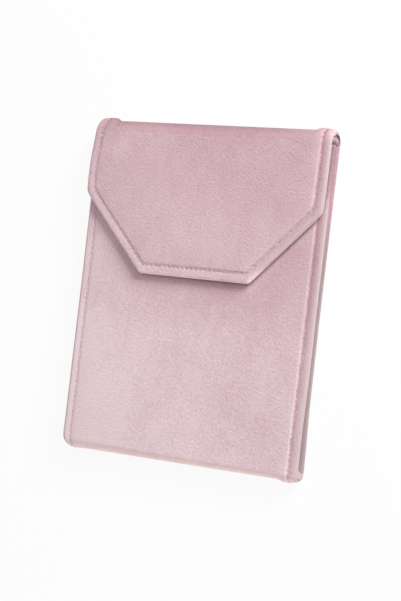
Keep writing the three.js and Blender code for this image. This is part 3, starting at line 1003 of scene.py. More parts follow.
    def up(self, face: Face) -> Array:
        """Unit directions away from a face at its grid points.

        Args:
            face: Outer or inner face.

        Returns:
            One direction for each grid point.
        """
        across = np.gradient(self.points[face], axis=1)
        along = np.gradient(self.points[face], axis=0)
        normal = np.cross(across, along)
        normal /= np.maximum(np.linalg.norm(normal, axis=-1, keepdims=True), TINY)
        toward = self.points[Face.OUTER] - self.points[Face.INNER]
        sign = np.sign((normal * toward).sum(-1).mean()) * face.value
        return normal * sign

    def stitches(self, face: Face, inset: float) -> list[StitchRow]:
        """Stitch rows at an inset from the free edges of a face, one where it has a free end and else two."""
        points, up = self.points[face], self.up(face)
        return [StitchRow.on_line(points[at], up[at], self.pitch) for at in self._lines(inset)]


class PlacingTree:
    """Geometry Nodes tree that sets one form on every given point, with named inputs."""

    def __init__(self, name: str, inputs: dict[str, str]) -> None:
        """Starts the tree.

        Args:
            name: Name of the tree.
            inputs: Socket types of its own inputs by name, besides the places and the finish.
        """
        self.tree = bpy.data.node_groups.new(name, "GeometryNodeTree")
        sockets = {"Places": "NodeSocketGeometry", **inputs, "Finish": "NodeSocketMaterial"}
        self._keys = {key: self.tree.interface.new_socket(key, in_out="INPUT", socket_type=kind).identifier
                      for key, kind in sockets.items()}
        self.tree.interface.new_socket("Pieces", in_out="OUTPUT", socket_type="NodeSocketGeometry")
        self.given = add_node(self.tree, "NodeGroupInput").outputs

    def set_form(self, form: dict[str, object]) -> None:
        """Ends the tree: sets the form on the places, makes the copies real and gives them the finish.

        Args:
            form: The form as Instance, with its Rotation where it is turned.
        """
        laid = add_node(self.tree, "GeometryNodeInstanceOnPoints", {"Points": self.given["Places"], **form})
        real = add_node(self.tree, "GeometryNodeRealizeInstances", {0: laid})
        dressed = add_node(self.tree, "GeometryNodeSetMaterial", {0: real, "Material": self.given["Finish"]})
        add_node(self.tree, "NodeGroupOutput", {0: dressed})

    def make(self, name: str, places: Array, values: dict[str, object],
             directions: dict[str, Array] | None = None) -> bpy.types.Object:
        """Runs the tree on some points and keeps the result as a plain mesh.

        Args:
            name: Name of the piece.
            places: The points.
            values: Values of the inputs by name.
            directions: Vectors at each point by attribute name.

        Returns:
            The new object.
        """
        spare = directions or {}
        mesh = bpy.data.meshes.new(name + "_places")
        mesh.from_pydata(places * MM, [], [])
        for key, vectors in spare.items():
            layer = mesh.attributes.new(key, "FLOAT_VECTOR", "POINT")
            layer.data.foreach_set("vector", vectors.astype(np.float32).ravel())
        source = add_object(name + "_places", mesh)
        modifier = source.modifiers.new(self.tree.name, "NODES")
        modifier.node_group = self.tree
        for key, value in values.items():
            modifier[self._keys[key]] = value
        graph = bpy.context.evaluated_depsgraph_get()
        made = bpy.data.meshes.new_from_object(source.evaluated_get(graph))
        made.name = name
        for key in [a.name for a in made.attributes if a.name in spare]:
            made.attributes.remove(made.attributes[key])
        piece = add_object(name, made)
        bpy.data.objects.remove(source, do_unlink=True)
        return piece


class StitchTree(PlacingTree):
    """Tree that lays one short bowed stitch on every point."""

    SEED = 7
    SWAY = 0.07
    SIDES = 6
    STEPS = 6
    BOW_SHARE = 0.35

    def __init__(self) -> None:
        """Builds the tree with its named inputs."""
        super().__init__("lay_stitches", {"Length": "NodeSocketFloat", "Thread": "NodeSocketFloat",
                                          "Bow": "NodeSocketFloat", "Seed": "NodeSocketInt"})
        tree, given = self.tree, self.given
        half, minus, sunk, radius = (
            add_node(tree, "ShaderNodeMath", {0: given[key], 1: share}, operation="MULTIPLY")
            for key, share in (("Length", 0.5), ("Length", -0.5), ("Bow", -1.0), ("Thread", 0.5)))
        start, middle, end = (
            add_node(tree, "ShaderNodeCombineXYZ", place)
            for place in ({"X": minus, "Z": sunk}, {"Z": given["Bow"]}, {"X": half, "Z": sunk}))
        line = add_node(tree, "GeometryNodeCurveQuadraticBezier", {
            "Resolution": self.STEPS, "Start": start, "Middle": middle, "End": end})
        strand = add_node(tree, "GeometryNodeCurvePrimitiveCircle", {
            "Resolution": self.SIDES, "Radius": radius})
        stitch = add_node(tree, "GeometryNodeCurveToMesh", {
            "Curve": line, "Profile Curve": strand, "Fill Caps": True})
        smooth = add_node(tree, "GeometryNodeSetShadeSmooth", {0: stitch})
        along, up = (
            add_node(tree, "GeometryNodeInputNamedAttribute", {"Name": name}, data_type="FLOAT_VECTOR")
            for name in ("along", "up"))
        turned = add_node(tree, "FunctionNodeAlignRotationToVector", {"Vector": along}, axis="X")
        upright = add_node(tree, "FunctionNodeAlignRotationToVector", {"Rotation": turned, "Vector": up},
                           axis="Z", pivot_axis="X")
        sway = add_node(tree, "FunctionNodeRandomValue", {
            "Min": (0.0, 0.0, -self.SWAY), "Max": (0.0, 0.0, self.SWAY), "Seed": given["Seed"]},
            data_type="FLOAT_VECTOR")
        swayed = add_node(tree, "FunctionNodeRotateRotation", {"Rotation": upright, "Rotate By": sway},
                          rotation_space="LOCAL")
        self.set_form({"Instance": smooth, "Rotation": swayed})

    def lay(self, name: str, rows: list[StitchRow], length: float, thread: float) -> bpy.types.Object:
        """Lays the stitches of some rows as one mesh.

        Args:
            name: Name of the piece.
            rows: Stitch rows.
            length: Length of one stitch.
            thread: Thickness of the thread.

        Returns:
            The new object.
        """
        centres, along, up = (
            np.concatenate([getattr(row, key) for row in rows]) for key in ("centres", "along", "up"))
        values = {"Length": length * MM, "Thread": thread * MM, "Bow": self.BOW_SHARE * thread * MM,
                  "Seed": self.SEED, "Finish": THREAD.material()}
        piece = self.make(name, centres, values, {"along": along, "up": up})
        LOG.info("laid %d stitches of %s", len(centres), name)
        return piece


class SnapTree(PlacingTree):
    """Tree that sets one pattern object on every point."""

    def __init__(self) -> None:
        """Builds the tree with its named inputs."""
        super().__init__("set_snaps", {"Snap": "NodeSocketObject"})
        snap = add_node(self.tree, "GeometryNodeObjectInfo", {"Object": self.given["Snap"]})
        self.set_form({"Instance": snap.outputs["Geometry"]})


@dataclass(frozen=True)
class Fold:
    """Half-round turn of the cloth between two panels, seen from the side."""

    centre_y: float
    centre_z: float
    reach: float
    outward: int
    ends: FoldEnds

    @property
    def arc(self) -> float:
        """Length of a quarter of the fold's outside."""
        return 0.25 * math.pi * (self.reach + self.centre_z)

    def turn(self, run: Array) -> Array:
        """Angle round the fold, from 0 at its outermost line to a quarter turn on the flat."""
        return 0.5 * np.pi * (1.0 + np.clip(run / self.arc, -1.0, 0.0))

    def apex(self, thickness: float) -> Point:
        """Middle of the cloth at the fold's outermost line, in metres."""
        return 0.0, (self.centre_y + self.outward * (self.reach - 0.5 * thickness)) * MM, self.centre_z * MM

    def foot(self, side: Side, thickness: float) -> Point:
        """Middle of the cloth where a panel leaves the fold, in metres."""
        return 0.0, self.centre_y * MM, (self.centre_z + side.value * (self.centre_z - 0.5 * thickness)) * MM


TOP_FOLD = Fold(centre_y=82.0, centre_z=7.85, reach=8.5, outward=1, ends=FoldEnds(
    hem_rise=(1.5, 1.1), hem_slope=(8.3, 11.4), end_drop=(0.8, 2.0)))
BOTTOM_FOLD = Fold(centre_y=-84.6, centre_z=5.95, reach=5.9, outward=-1, ends=FoldEnds(
    hem_rise=(0.3, 1.0), hem_slope=(7.5, 13.0), end_drop=(1.2, 2.0), tilt=0.7))


@dataclass(frozen=True)
class VelvetShading:
    """Tone of a panel's velvet, from 0 for dark to 1 for pale, with painted light and shade, and where a grey
    is mixed in as painted shade and sheen.

    The fields down to the start of the right-edge greying differ from panel to panel. The others are the same
    for all: strengths of the effects, and their reach as widths, as distances in from the edge, as places
    along the strip or as shares of the panel's length.
    """

    level: float = 0.5
    drift: Pair = (0.0, 0.0)
    fold: float = -0.35
    fold_edge: float = 1.0
    # Painted shade at the right-hand rims.
    rim: float = 0.0
    inner_edge_shade: float = 0.3
    flap_side_shade: float = 0.0
    under_flap_shade: float = 0.0
    tip_rim_highlight: float = 0.0
    side_sheen_shade: float = 0.8
    inner_sheen_shade: float = 1.0
    sheen_shade_from: float = -100.0
    sheen_shade_reach: float = 70.0
    lit_width: float = 40.0
    rim_width: float = 1.7
    left_rim_highlight: float = 0.5
    seam_inset: float = 5.0
    groove_width: float = 0.8
    groove_shade: float = 0.04
    border_fade: float = 0.9
    border_ramp: Pair = (5.3, 4.7)
    border_shade: float = 0.12
    field_inset: float = 6.0
    field_fade: float = 9.0
    field_ramp: Pair = (4.8, 5.8)
    field_edge_highlight: Pair = (0.02, 0.16)
    field_sheen: float = 0.2
    fold_ramp: Pair = (1.5, 6.5)
    inner_edge_shade_ramp: Pair = (4.5, 2.0)
    flap_side_shade_along: Pair = (44.0, 60.0)
    flap_side_shade_ramp: Pair = (6.0, 3.0)
    under_flap_shade_along: Pair = (-28.0, 4.0)
    tip_share: Pair = (0.35, 0.7)
    tip_clean: Pair = (0.85, 0.95)

    def values(self, panel: "VelvetPanel", face: Face, x: Array, run: Array,
               inset: Array) -> tuple[Array, Array]:
        """Tone of the velvet with painted light and shade: over the folds, around the flap, in the stitch
        groove and at the edges, greyed at the right edges.

        Args:
            panel: Panel that the pile is on.
            face: Outer or inner face.
            x: Places across.
            run: Distances past the fold.
            inset: Distances in from the edge.

        Returns:
            The tone, from dark to pale, and how far a grey is mixed in as painted shade and sheen.
        """
        y, share = panel.y(run), run / panel.length
        over = np.sqrt(np.maximum(np.cos(panel.fold.turn(run)), 0.0))
        lit, unlit = (np.clip(side * x / self.lit_width, 0.0, 1.0) for side in (1.0, -1.0))
        rim = bell(inset, self.rim_width)
        # Masks for painted shade on the border by the groove and painted highlight on the field's edges.
        border = np.exp(-np.maximum(self.seam_inset - inset, 0.0) / self.border_fade)
        border = border * smoothstep(*self.border_ramp, inset)
        edge = np.exp(-np.maximum(inset - self.field_inset, 0.0) / self.field_fade)
        edge = edge * smoothstep(*self.field_ramp, inset)
        # Where the flap's shadow is painted on the front's edges beside it.
        under = smoothstep(*self.flap_side_shade_along, y) * smoothstep(*self.flap_side_shade_ramp, inset)
        under = under * (self.flap_side_shade > 0.0)
        edge_paint_share = smoothstep(self.sheen_shade_from, self.sheen_shade_from + self.sheen_shade_reach, run)
        clean = smoothstep(*self.tip_clean, share) * (self.tip_rim_highlight > 0.0)
        # Paler towards the left, painted light on the side away from the key lamp, and a tone gradient along
        # the panel.
        tone = self.level + (self.drift[0] * x / HALF_WIDTH + self.drift[1] * (0.5 - share)) * (1.0 - over)
        # Painted shade over the top fold and painted light over the bottom fold, weaker near the edges.
        fold_shading = self.fold_edge + (1.0 - self.fold_edge) * smoothstep(*self.fold_ramp, inset)
        tone = tone + self.fold * over * fold_shading
        # Painted shade in the stitch groove.
        tone = tone - self.groove_shade * bell(inset - self.seam_inset, self.groove_width)
        # Painted shadow of the flap on the front: beside its edges, and below and under it.
        tone = tone - self.flap_side_shade * under - self.under_flap_shade * smoothstep(*self.under_flap_shade_along, y)
        # Painted shade on the right-hand border by the groove, and painted highlight on the field's edges,
        # stronger on the right.
        tone = tone - self.border_shade * lit * border + (self.field_edge_highlight[0] + self.field_edge_highlight[1] * lit) * edge
        # Painted shade on the right-hand rims and painted highlight on the left-hand rims, which the lamps
        # leave unlit.
        tone = tone + self.rim * (0.5 + 0.5 * edge_paint_share) * lit * rim + self.left_rim_highlight * unlit * rim * rim
        # Painted highlight on the rim of the flap's tip.
        tone = tone + self.tip_rim_highlight * rim * smoothstep(*self.tip_share, share)
        # Grey at the right-hand rims and field edges: painted shade and sheen.
        rub = lit * (self.side_sheen_shade * edge_paint_share * (1.0 - clean) * rim * (1.0 - under) + self.field_sheen * edge)
        if face is Face.INNER:
            # Painted shade on the inner face near its edges, in the gap between the panels.
            return tone - self.inner_edge_shade * smoothstep(*self.inner_edge_shade_ramp, inset), self.inner_sheen_shade * rub
        return tone, rub


@dataclass
class VelvetPanel:
    """One padded velvet panel of the folded strip, with its half of a fold, lining and stitching."""

    name: str
    fold: Fold
    side: Side
    bodies: tuple[str, ...]
    length: float
    outline: Outline
    replaces: tuple[str, ...]
    lining_replaces: tuple[str, ...]
    pile: VelvetShading
    start: float = 0.0
    with_fold: bool = True
    free_end: bool = False
    corner: float = 1.2
    lift: float = 0.0
    lift_power: float = 2.5
    lift_step: float = 0.3
    lift_ramp: Pair = (3.0, 16.0)
    left_tension: float = 0.45
    thickness: float = 3.5
    fill: float = 0.75
    edge_round: float = 2.2
    edge_level: float = 0.6
    pucker: float = 0.14
    row_step: float = 1.2
    columns: int = 88
    wave: float = 0.1
    wave_ramp: Pair = (0.0, 25.0)
    long_wave: Pair = (17.0, 23.0)
    long_phase: Pair = (0.7, 1.9)
    short_wave: Pair = (9.3, 14.1)
    short_share: float = 0.6
    stitch_length: float = 2.1
    thread: float = 0.45
    hem_gap: float = 10.2
    lining_cloth: float = 0.42
    lining_round: float = 0.4
    lining_corner: float = 0.5
    lining_step: float = 2.4
    lining_columns: int = 48
    least_flat: float = 10.0
    seam_row: float = 0.02
    # Rows on the fold as shares of its arc: two at its outermost line, and then evenly spaced ones.
    fold_start: Pair = (-1.0, -0.997)
    fold_rows: tuple[float, float, int] = (-0.92, -0.08, 12)
    roll_columns: int = 9
    # Grid columns inside the rolled edge, close at the stitch groove and at the hem's edge.
    border_columns: tuple[float, ...] = (2.8, 3.4, 3.9, 4.35, 4.7, 5.0, 5.3, 5.65, 6.0, 6.4, 6.9, 7.6, 8.3,
                                         8.9, 9.5, 9.85, 10.15, 10.7, 11.4, 13.0)
    lining_border: tuple[float, ...] = (0.0, 0.06, 0.2, 0.4, 1.2, 2.6)
    pieces: list[bpy.types.Object] = field(default_factory=list)

    def y(self, run: Array) -> Array:
        """Place along the unrolled strip for a distance past the fold."""
        return self.fold.centre_y - self.fold.outward * run

    def _ripple(self, x: Array, y: Array) -> Array:
        """Shallow unevenness of the padding: crossed long waves and short slanted ones."""
        crossed = np.sin(x / self.long_wave[0] + self.long_phase[0]) * np.sin(
            y / self.long_wave[1] + self.long_phase[1])
        return crossed + self.short_share * np.sin(x / self.short_wave[0] - y / self.short_wave[1])

    def _place(self, x: Array, run: Array, depth: Array, extra: Array) -> Array:
        """Puts points of the strip in space.

        Args:
            x: Places across.
            run: Distances past the fold's end; below 0 they are on the fold.
            depth: Depths in from the outer face.
            extra: Depths that are added at the fold's outermost line.

        Returns:
            The points.
        """
        fold = self.fold
        turn = fold.turn(run)
        flat = np.maximum(run, 0.0)
        y = fold.centre_y + fold.outward * ((fold.reach - depth - extra) * np.cos(turn) - flat)
        calm = smoothstep(*self.wave_ramp, flat) * (self.side is Side.UPPER)
        rise = fold.centre_z - depth + self.wave * self._ripple(x, y) * calm
        z = fold.centre_z + self.side.value * rise * np.sin(turn)
        if self.lift > 0.0:
            share = np.clip(flat / self.length, 0.0, 1.0)
            z = z + self.lift_step * smoothstep(*self.lift_ramp, flat) + self.lift * share ** self.lift_power
        return np.stack([x, y, z], -1)

    def _runs(self, step: float, border: Array, length: float) -> Array:
        """Row places along the panel.

        Args:
            step: Distance between rows on the flat.
            border: Row distances from a free end.
            length: Distance of the panel's end past the fold.

        Returns:
            Distances past the fold's end.
        """
        turned = self.fold.arc * np.concatenate([self.fold_start, np.linspace(*self.fold_rows)])
        last = length - (border[-1] if self.free_end else self.seam_row)
        return np.concatenate([
            turned if self.with_fold else [],
            self.start + np.array([0.0, self.seam_row]),
            np.linspace(self.start + step, last, int(last / step)),
            length - border[::-1][1:] if self.free_end else [length]])

    def build(self, tree: StitchTree) -> None:
        """Makes the cover, its stitches and its lining, and puts them on their bodies.

        Args:
            tree: Tree that lays the stitches.
        """
        section = CoverSection(self.thickness, self.edge_round, edge_level=self.edge_level,
                               left_tension=self.left_tension, ends=self.fold.ends)
        roll = self.edge_round * (1.0 - np.cos(np.linspace(0.0, 0.5 * np.pi, self.roll_columns)))
        border = np.concatenate([roll, self.border_columns])
        sheet = SewnSheet(
            self.name + "_cover_velvet", self._runs(self.row_step, border, self.length), self.outline,
            section, self._place, border, self.columns, self.y, free_end=self.free_end, corner=self.corner,
            pucker=self.pucker, pile=partial(self.pile.values, self)).shape()
        cover = sheet.build(VELVET)
        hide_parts(*self.replaces)
        LOG.info("built %s", cover.name)
        rows = [row for face in Face for row in sheet.stitches(face, section.stitch_inset)]
        stitches = tree.lay(self.name + "_topstitch", rows, self.stitch_length, self.thread)
        self.pieces = [cover, stitches, self._lining()]
        self._carry()

    def _lining(self) -> bpy.types.Object:
        """Makes the lining cloth inside the hem.


        Returns:
            The new object.
        """
        inside = replace(self.outline, inset=self.hem_gap)
        border = np.array(self.lining_border)
        runs = self._runs(self.lining_step, border, self.length - self.hem_gap * self.free_end)
        sheet = SewnSheet(
            self.name + "_lining_cloth", runs, inside, LiningSection(self.lining_cloth, self.lining_round),
            self._place, border, self.lining_columns, self.y, free_end=self.free_end,
            corner=self.lining_corner).shape()
        piece = sheet.build(LINING)
        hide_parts(*self.lining_replaces)
        LOG.info("built %s", piece.name)
        return piece

    def _carry(self) -> None:
        """Lets the pieces ride on one body, or bends them between two over the half fold."""
        start, end = self.fold.apex(self.thickness), self.fold.foot(self.side, self.thickness)
        if self.side is Side.LOWER:
            start, end = end, start
        for piece in self.pieces:
            if len(self.bodies) == 1:
                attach(piece, *self.bodies)
            else:
                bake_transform(piece, *self.bodies, start=start, end=end)


@dataclass
class HemGather:
    """Hem cloth bunched inside both ends of a fold."""

    name: str
    fold: Fold
    body: str
    joint: str
    depth: float
    nap: float
    rub: float = 0.0
    ends: Pair = (67.6, 69.6)
    width: float = 9.2
    taper_from: float = 0.6
    rounding: float = 2.4
    cover: float = 3.5
    bedding: float = 0.3
    fill: float = 0.6
    keep: float = 0.12
    rows: int = 25
    columns: int = 24

    def build(self) -> None:
        """Makes both lumps as one piece, which rides on the fold's spine."""
        fold = self.fold
        hollow = fold.reach - self.cover
        turn, inset = np.meshgrid(np.linspace(-0.5 * np.pi, 0.5 * np.pi, self.rows),
                                  np.linspace(0.0, self.width, self.columns), indexing="ij")
        start = np.clip(1.0 - inset / self.rounding, 0.0, 1.0)
        full = np.sqrt(1.0 - start * start) * smoothstep(self.width, self.taper_from * self.width, inset)
        z = fold.centre_z + (fold.centre_z - self.cover) * np.sin(turn)
        reaches = (hollow + self.bedding, hollow - self.depth * full)
        faces = [fold.centre_y + fold.outward * reach * np.cos(turn) for reach in reaches]
        shell = Shell()
        for side, end in zip((-1, 1), self.ends):
            x = side * (end - inset)
            outer, inner = (shell.points(np.stack([x, y, z], -1)[:, ::-side]) for y in faces)
            inner[0], inner[-1] = outer[0], outer[-1]
            shell.grid(outer)
            shell.grid(inner, flip=True)
            shell.seam(outer[:, 0], inner[:, 0], False)
            shell.seam(outer[:, -1], inner[:, -1], True)
        piece = shell.build(self.name, VELVET, {
            key: np.full(shell.count, value) for key, value in (("nap", self.nap), ("rub", self.rub))})
        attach(piece, self.body)
        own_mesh(piece)
        LOG.info("built %s", piece.name)


@dataclass
class Interior:
    """Pocket, binding, tab strip, tabs and snap caps on the inside of the back panel."""

    lining_z: float = 3.5
    rest_gap: float = 0.05
    stitch_length: float = 1.9
    thread: float = 0.36
    pitch: float = 2.6
    pocket_bottom: float = -81.3
    pocket_mouth: float = -21.3
    pocket_half: float = 58.2
    pocket_sag: float = 4.0
    pocket_cloth: float = 0.8
    pocket_round: float = 0.6
    pocket_corner: float = 1.5
    pocket_seam: float = 1.7
    pocket_puff: float = 1.5
    pocket_border: tuple[float, ...] = (0.0, 0.1, 0.35, 0.7, 1.2, 1.7, 2.4, 3.5, 5.0)
    pocket_margin: float = 5.8
    pocket_rows: int = 44
    pocket_columns: int = 96
    mouth_rows: int = 12
    puff_sides: Pair = (2.5, 22.0)
    puff_bottom: Pair = (2.5, 30.0)
    gather_height: float = 0.16
    gather_wave: float = 4.6
    gather_phase: float = 0.4
    gather_along: Pair = (15.0, 55.0)
    slack_height: float = 0.1
    slack_wave: Pair = (11.0, 13.0)
    ribbon_width: float = 5.0
    ribbon_cloth: float = 0.35
    ribbon_clear: float = 0.06
    ribbon_leg_steps: int = 6
    ribbon_bend_steps: int = 9
    ribbon_rows: int = 121
    strip_half: float = 57.7
    strip_low: float = 62.7
    strip_width: float = 9.0
    strip_turned: float = 1.0
    strip_cloth: float = 0.95
    strip_round: float = 0.9
    strip_corner: float = 0.8
    strip_seam: float = 1.8
    strip_groove: float = 0.5
    strip_nap: float = 0.42
    strip_border: tuple[float, ...] = (0.0, 0.06, 0.2, 0.4, 0.65, 0.9, 1.3, 1.8)
    strip_margin: float = 2.6
    strip_rows: int = 5
    strip_columns: int = 110
    tab_places: tuple[float, ...] = (-48.0, -24.0, 0.0, 24.0, 48.0)
    tab_root: float = 62.2
    tab_length: float = 33.3
    tab_half: float = 6.5
    tab_cloth: float = 1.0
    tab_round: float = 0.95
    tab_level: float = 2.2
    tab_ramp: float = 9.0
    tab_seam: float = 1.5
    tab_pitch: float = 2.4
    tab_groove: float = 0.45
    tab_nap: float = 0.45
    tab_groove_dark: float = 0.2
    tab_groove_width: float = 0.5
    tab_border: tuple[float, ...] = (0.0, 0.06, 0.22, 0.45, 0.7, 0.95, 1.25, 1.5, 1.75, 2.1)
    tab_root_rows: tuple[float, ...] = (0.0, 0.1, 0.3)
    tab_margins: Pair = (0.9, 2.6)
    tab_rows: int = 38
    tab_columns: int = 12
    tab_tip_flat: float = 0.05
    snap_y: float = 37.9
    cap_radius: float = 5.0
    cap_base: float = 3.25
    cap_dome: float = 0.95
    cap_sides: int = 48
    # The cap's rolled rim, from its underside to the foot of the dome: distance in from the rim, and height.
    cap_rim: tuple[Pair, ...] = ((0.45, 0.0), (0.12, 0.05), (0.0, 0.2), (0.1, 0.36), (0.35, 0.44),
                                 (0.55, 0.41), (0.75, 0.43))
    dome_foot: Pair = (0.9, 0.45)
    dome_start: float = 0.05
    dome_steps: int = 9

    def build(self, tree: StitchTree) -> None:
        """Makes every inside piece and lets it ride on the back.

        Args:
            tree: Tree that lays the stitches.
        """
        rows = [*self._pocket(), *self._strip()]
        for number, place in enumerate(self.tab_places, 1):
            rows.extend(self._tab(number, place))
        self._caps()
        seams = tree.lay("inside_topstitch", rows, self.stitch_length, self.thread)
        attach(seams, "back")

    def _puff(self, x: Array, run: Array) -> Array:
        """Height of the pocket cloth over the lining: sewn down at its sides and bottom, slack at its mouth.

        Args:
            x: Places across.
            run: Distances up from the pocket's bottom.

        Returns:
            Heights over the lining.
        """
        sides = smoothstep(*self.puff_sides, self.pocket_half - np.abs(x))
        bottom = smoothstep(*self.puff_bottom, run)
        gathers = np.sin(x / self.gather_wave + self.gather_phase) * smoothstep(*self.gather_along, run)
        slack = np.sin(x / self.slack_wave[0] + run / self.slack_wave[1])
        uneven = 1.0 + self.gather_height * gathers + self.slack_height * slack
        return self.pocket_puff * sides * bottom * uneven

    def _mouth_drop(self, x: Array, run: Array) -> Array:
        """How far a point of the pocket lies below its flat place, because the mouth sags."""
        share = np.clip(run / (self.pocket_mouth - self.pocket_bottom), 0.0, 1.0)
        return self.pocket_sag * (1.0 - (x / self.pocket_half) ** 2) * share ** 2

    def _pocket(self) -> list[StitchRow]:
        """Makes the pocket and its binding.

        Returns:
            Their stitch rows.
        """
        length = self.pocket_mouth - self.pocket_bottom

        def place(x: Array, run: Array, depth: Array, extra: Array) -> Array:
            """Puts pocket points in space."""
            z = self.lining_z + self.rest_gap + self._puff(x, run) + self.pocket_cloth - depth
            return np.stack([x, self.pocket_bottom + run - self._mouth_drop(x, run), z], -1)

        border = np.array(self.pocket_border)
        inner = np.linspace(self.pocket_margin, length - self.pocket_margin, self.pocket_rows)
        runs = np.concatenate([border, inner, length - border[::-1]])
        sheet = SewnSheet("pocket_cloth", runs, Outline(self.pocket_half),
                          Section(self.pocket_cloth, self.pocket_round), place, border, self.pocket_columns,
                          free_start=True, free_end=True, corner=self.pocket_corner).shape()
        pocket = sheet.build(LINING)
        self._finish(pocket, Slot.LINING, "pocket_panel")
        # The seam runs down the left side, along the bottom and up the right side, to just under the ribbon.
        points, up = sheet.points[Face.OUTER], sheet.up(Face.OUTER)
        near = int(np.argmin(np.abs(border - self.pocket_seam)))
        far, last = points.shape[1] - 1 - near, len(runs) - self.mouth_rows
        i, j = np.array([*((row, near) for row in range(last, near, -1)),
                         *((near, column) for column in range(near, far + 1)),
                         *((row, far) for row in range(near + 1, last))]).T
        return [StitchRow.on_line(points[i, j], up[i, j], self.pitch), self._binding(length)]

    def _binding(self, length: float) -> StitchRow:
        """Makes the ribbon folded over the pocket's mouth.

        Args:
            length: Length of the pocket.

        Returns:
            Its stitch row.
        """
        half, cloth, clear = 0.5 * self.pocket_cloth, self.ribbon_cloth, self.ribbon_clear
        leg = np.linspace(-self.ribbon_width, 0.0, self.ribbon_leg_steps)[:-1]
        turn = np.linspace(0.5 * np.pi, -0.5 * np.pi, self.ribbon_bend_steps)

        def wrapped(radius: float) -> list[Pair]:
            """Section line round the mouth's edge at a distance from the pocket cloth's middle."""
            bend = [(radius * math.cos(t), half + radius * math.sin(t)) for t in turn]
            return [*((a, half + radius) for a in leg), *bend, *((a, half - radius) for a in leg[::-1])]

        inner = half + clear
        outside, inside = wrapped(inner + cloth), wrapped(inner)[::-1]
        loop = np.array(outside + inside)
        rows = np.linspace(-self.pocket_half, self.pocket_half, self.ribbon_rows)
        across = np.repeat(rows[:, None], len(loop), axis=1)
        run = length + loop[None, :, 0] + 0.0 * across
        held = np.minimum(run, length)
        floor = np.maximum(self._puff(across, held), clear + cloth + self.rest_gap)
        y = self.pocket_bottom + run - self._mouth_drop(across, held)
        grid = np.stack([across, y, self.lining_z + self.rest_gap + floor + loop[None, :, 1]], -1)
        shell = Shell()
        index = shell.points(grid)
        shell.grid(np.concatenate([index, index[:, :1]], axis=1))
        for end, flip in ((0, True), (-1, False)):
            shell.seam(index[end, :len(outside)], index[end, len(outside):][::-1], flip)
        ribbon = shell.build("pocket_mouth_ribbon", RIBBON)
        self._finish(ribbon, Slot.BINDING, "pocket_binding")
        line = grid[:, 1]
        return StitchRow.on_line(line, np.tile([0.0, 0.0, 1.0], (len(line), 1)), self.pitch)

    @staticmethod
    def _thin_velvet(cloth: float, edge_round: float, seam: float, groove: float) -> CoverSection:
        """Section of velvet without padding or hem, with a shallow stitch groove on its outer face only."""
        return CoverSection(cloth, edge_round, border_drop=0.0, sag=0.0, stitch_inset=seam, stitch_depth=0.2,
                            groove_outside=groove, groove_inside=groove, inner_stitch_depth=0.0, hem_step=0.0)

    def _strip(self) -> list[StitchRow]:
        """Makes the velvet strip that holds the tabs.

        Returns:
            Its stitch rows.
        """

        def place(x: Array, run: Array, depth: Array, extra: Array) -> Array:
            """Puts strip points in space."""
            z = self.lining_z + self.rest_gap + self.strip_cloth - depth
            return np.stack([x, self.strip_low + run, z], -1)

        border, width = np.array(self.strip_border), self.strip_width
        inner = np.linspace(self.strip_margin, width - self.strip_margin, self.strip_rows)
        runs = np.concatenate([border, inner, width - border[::-1]])
        section = self._thin_velvet(self.strip_cloth, self.strip_round, self.strip_seam, self.strip_groove)
        sheet = SewnSheet("tab_strip_velvet", runs, Outline(self.strip_half), section, place, border,
                          self.strip_columns, free_start=True, free_end=True, corner=self.strip_corner,
                          pile=lambda face, x, run, inset: (self.strip_nap + 0.0 * x, 0.0 * x)).shape()
        strip = sheet.build(VELVET)
        self._finish(strip, Slot.VELVET, "tab_strip")
        row = int(np.argmin(np.abs(border - self.strip_seam)))
        points, up = sheet.points[Face.OUTER], sheet.up(Face.OUTER)
        return [StitchRow.on_line(points[at, row:-row], up[at, row:-row], self.pitch)
                for at in (row, -1 - row)]

    def _tab(self, number: int, place_x: float) -> list[StitchRow]:
        """Makes one velvet tab.

        Args:
            number: Number of the tab.
            place_x: Its place across the pouch.

        Returns:
            Its stitch row.
        """

        def place(x: Array, run: Array, depth: Array, extra: Array) -> Array:
            """Puts tab points in space."""
            base = self.rest_gap + (self.tab_level - self.rest_gap) * smoothstep(0.0, self.tab_ramp, run)
            return np.stack([place_x + x, self.tab_root - run,
                             self.lining_z + base + self.tab_cloth - depth], -1)

        def pile(face: Face, x: Array, run: Array, inset: Array) -> tuple[Array, Array]:
            """Tone of the tab's velvet, with painted shade along its seam groove."""
            groove = bell(inset - self.tab_seam, self.tab_groove_width)
            return self.tab_nap - self.tab_groove_dark * groove, 0.0 * x

        border = np.array(self.tab_border)
        inner = np.linspace(self.tab_margins[0], self.tab_length - self.tab_margins[1], self.tab_rows)
        runs = np.concatenate([self.tab_root_rows, inner, self.tab_length - border[::-1]])
        section = self._thin_velvet(self.tab_cloth, self.tab_round, self.tab_seam, self.tab_groove)
        sheet = SewnSheet(f"tab_{number}_velvet", runs, Outline(self.tab_half), section, place, border,
                          self.tab_columns, free_end=True, corner=self.tab_half - self.tab_tip_flat,
                          pitch=self.tab_pitch, pile=pile).shape()
        tab = sheet.build(VELVET)
        self._finish(tab, Slot.VELVET, f"tab_{number}_strap")
        return sheet.stitches(Face.OUTER, self.tab_seam)

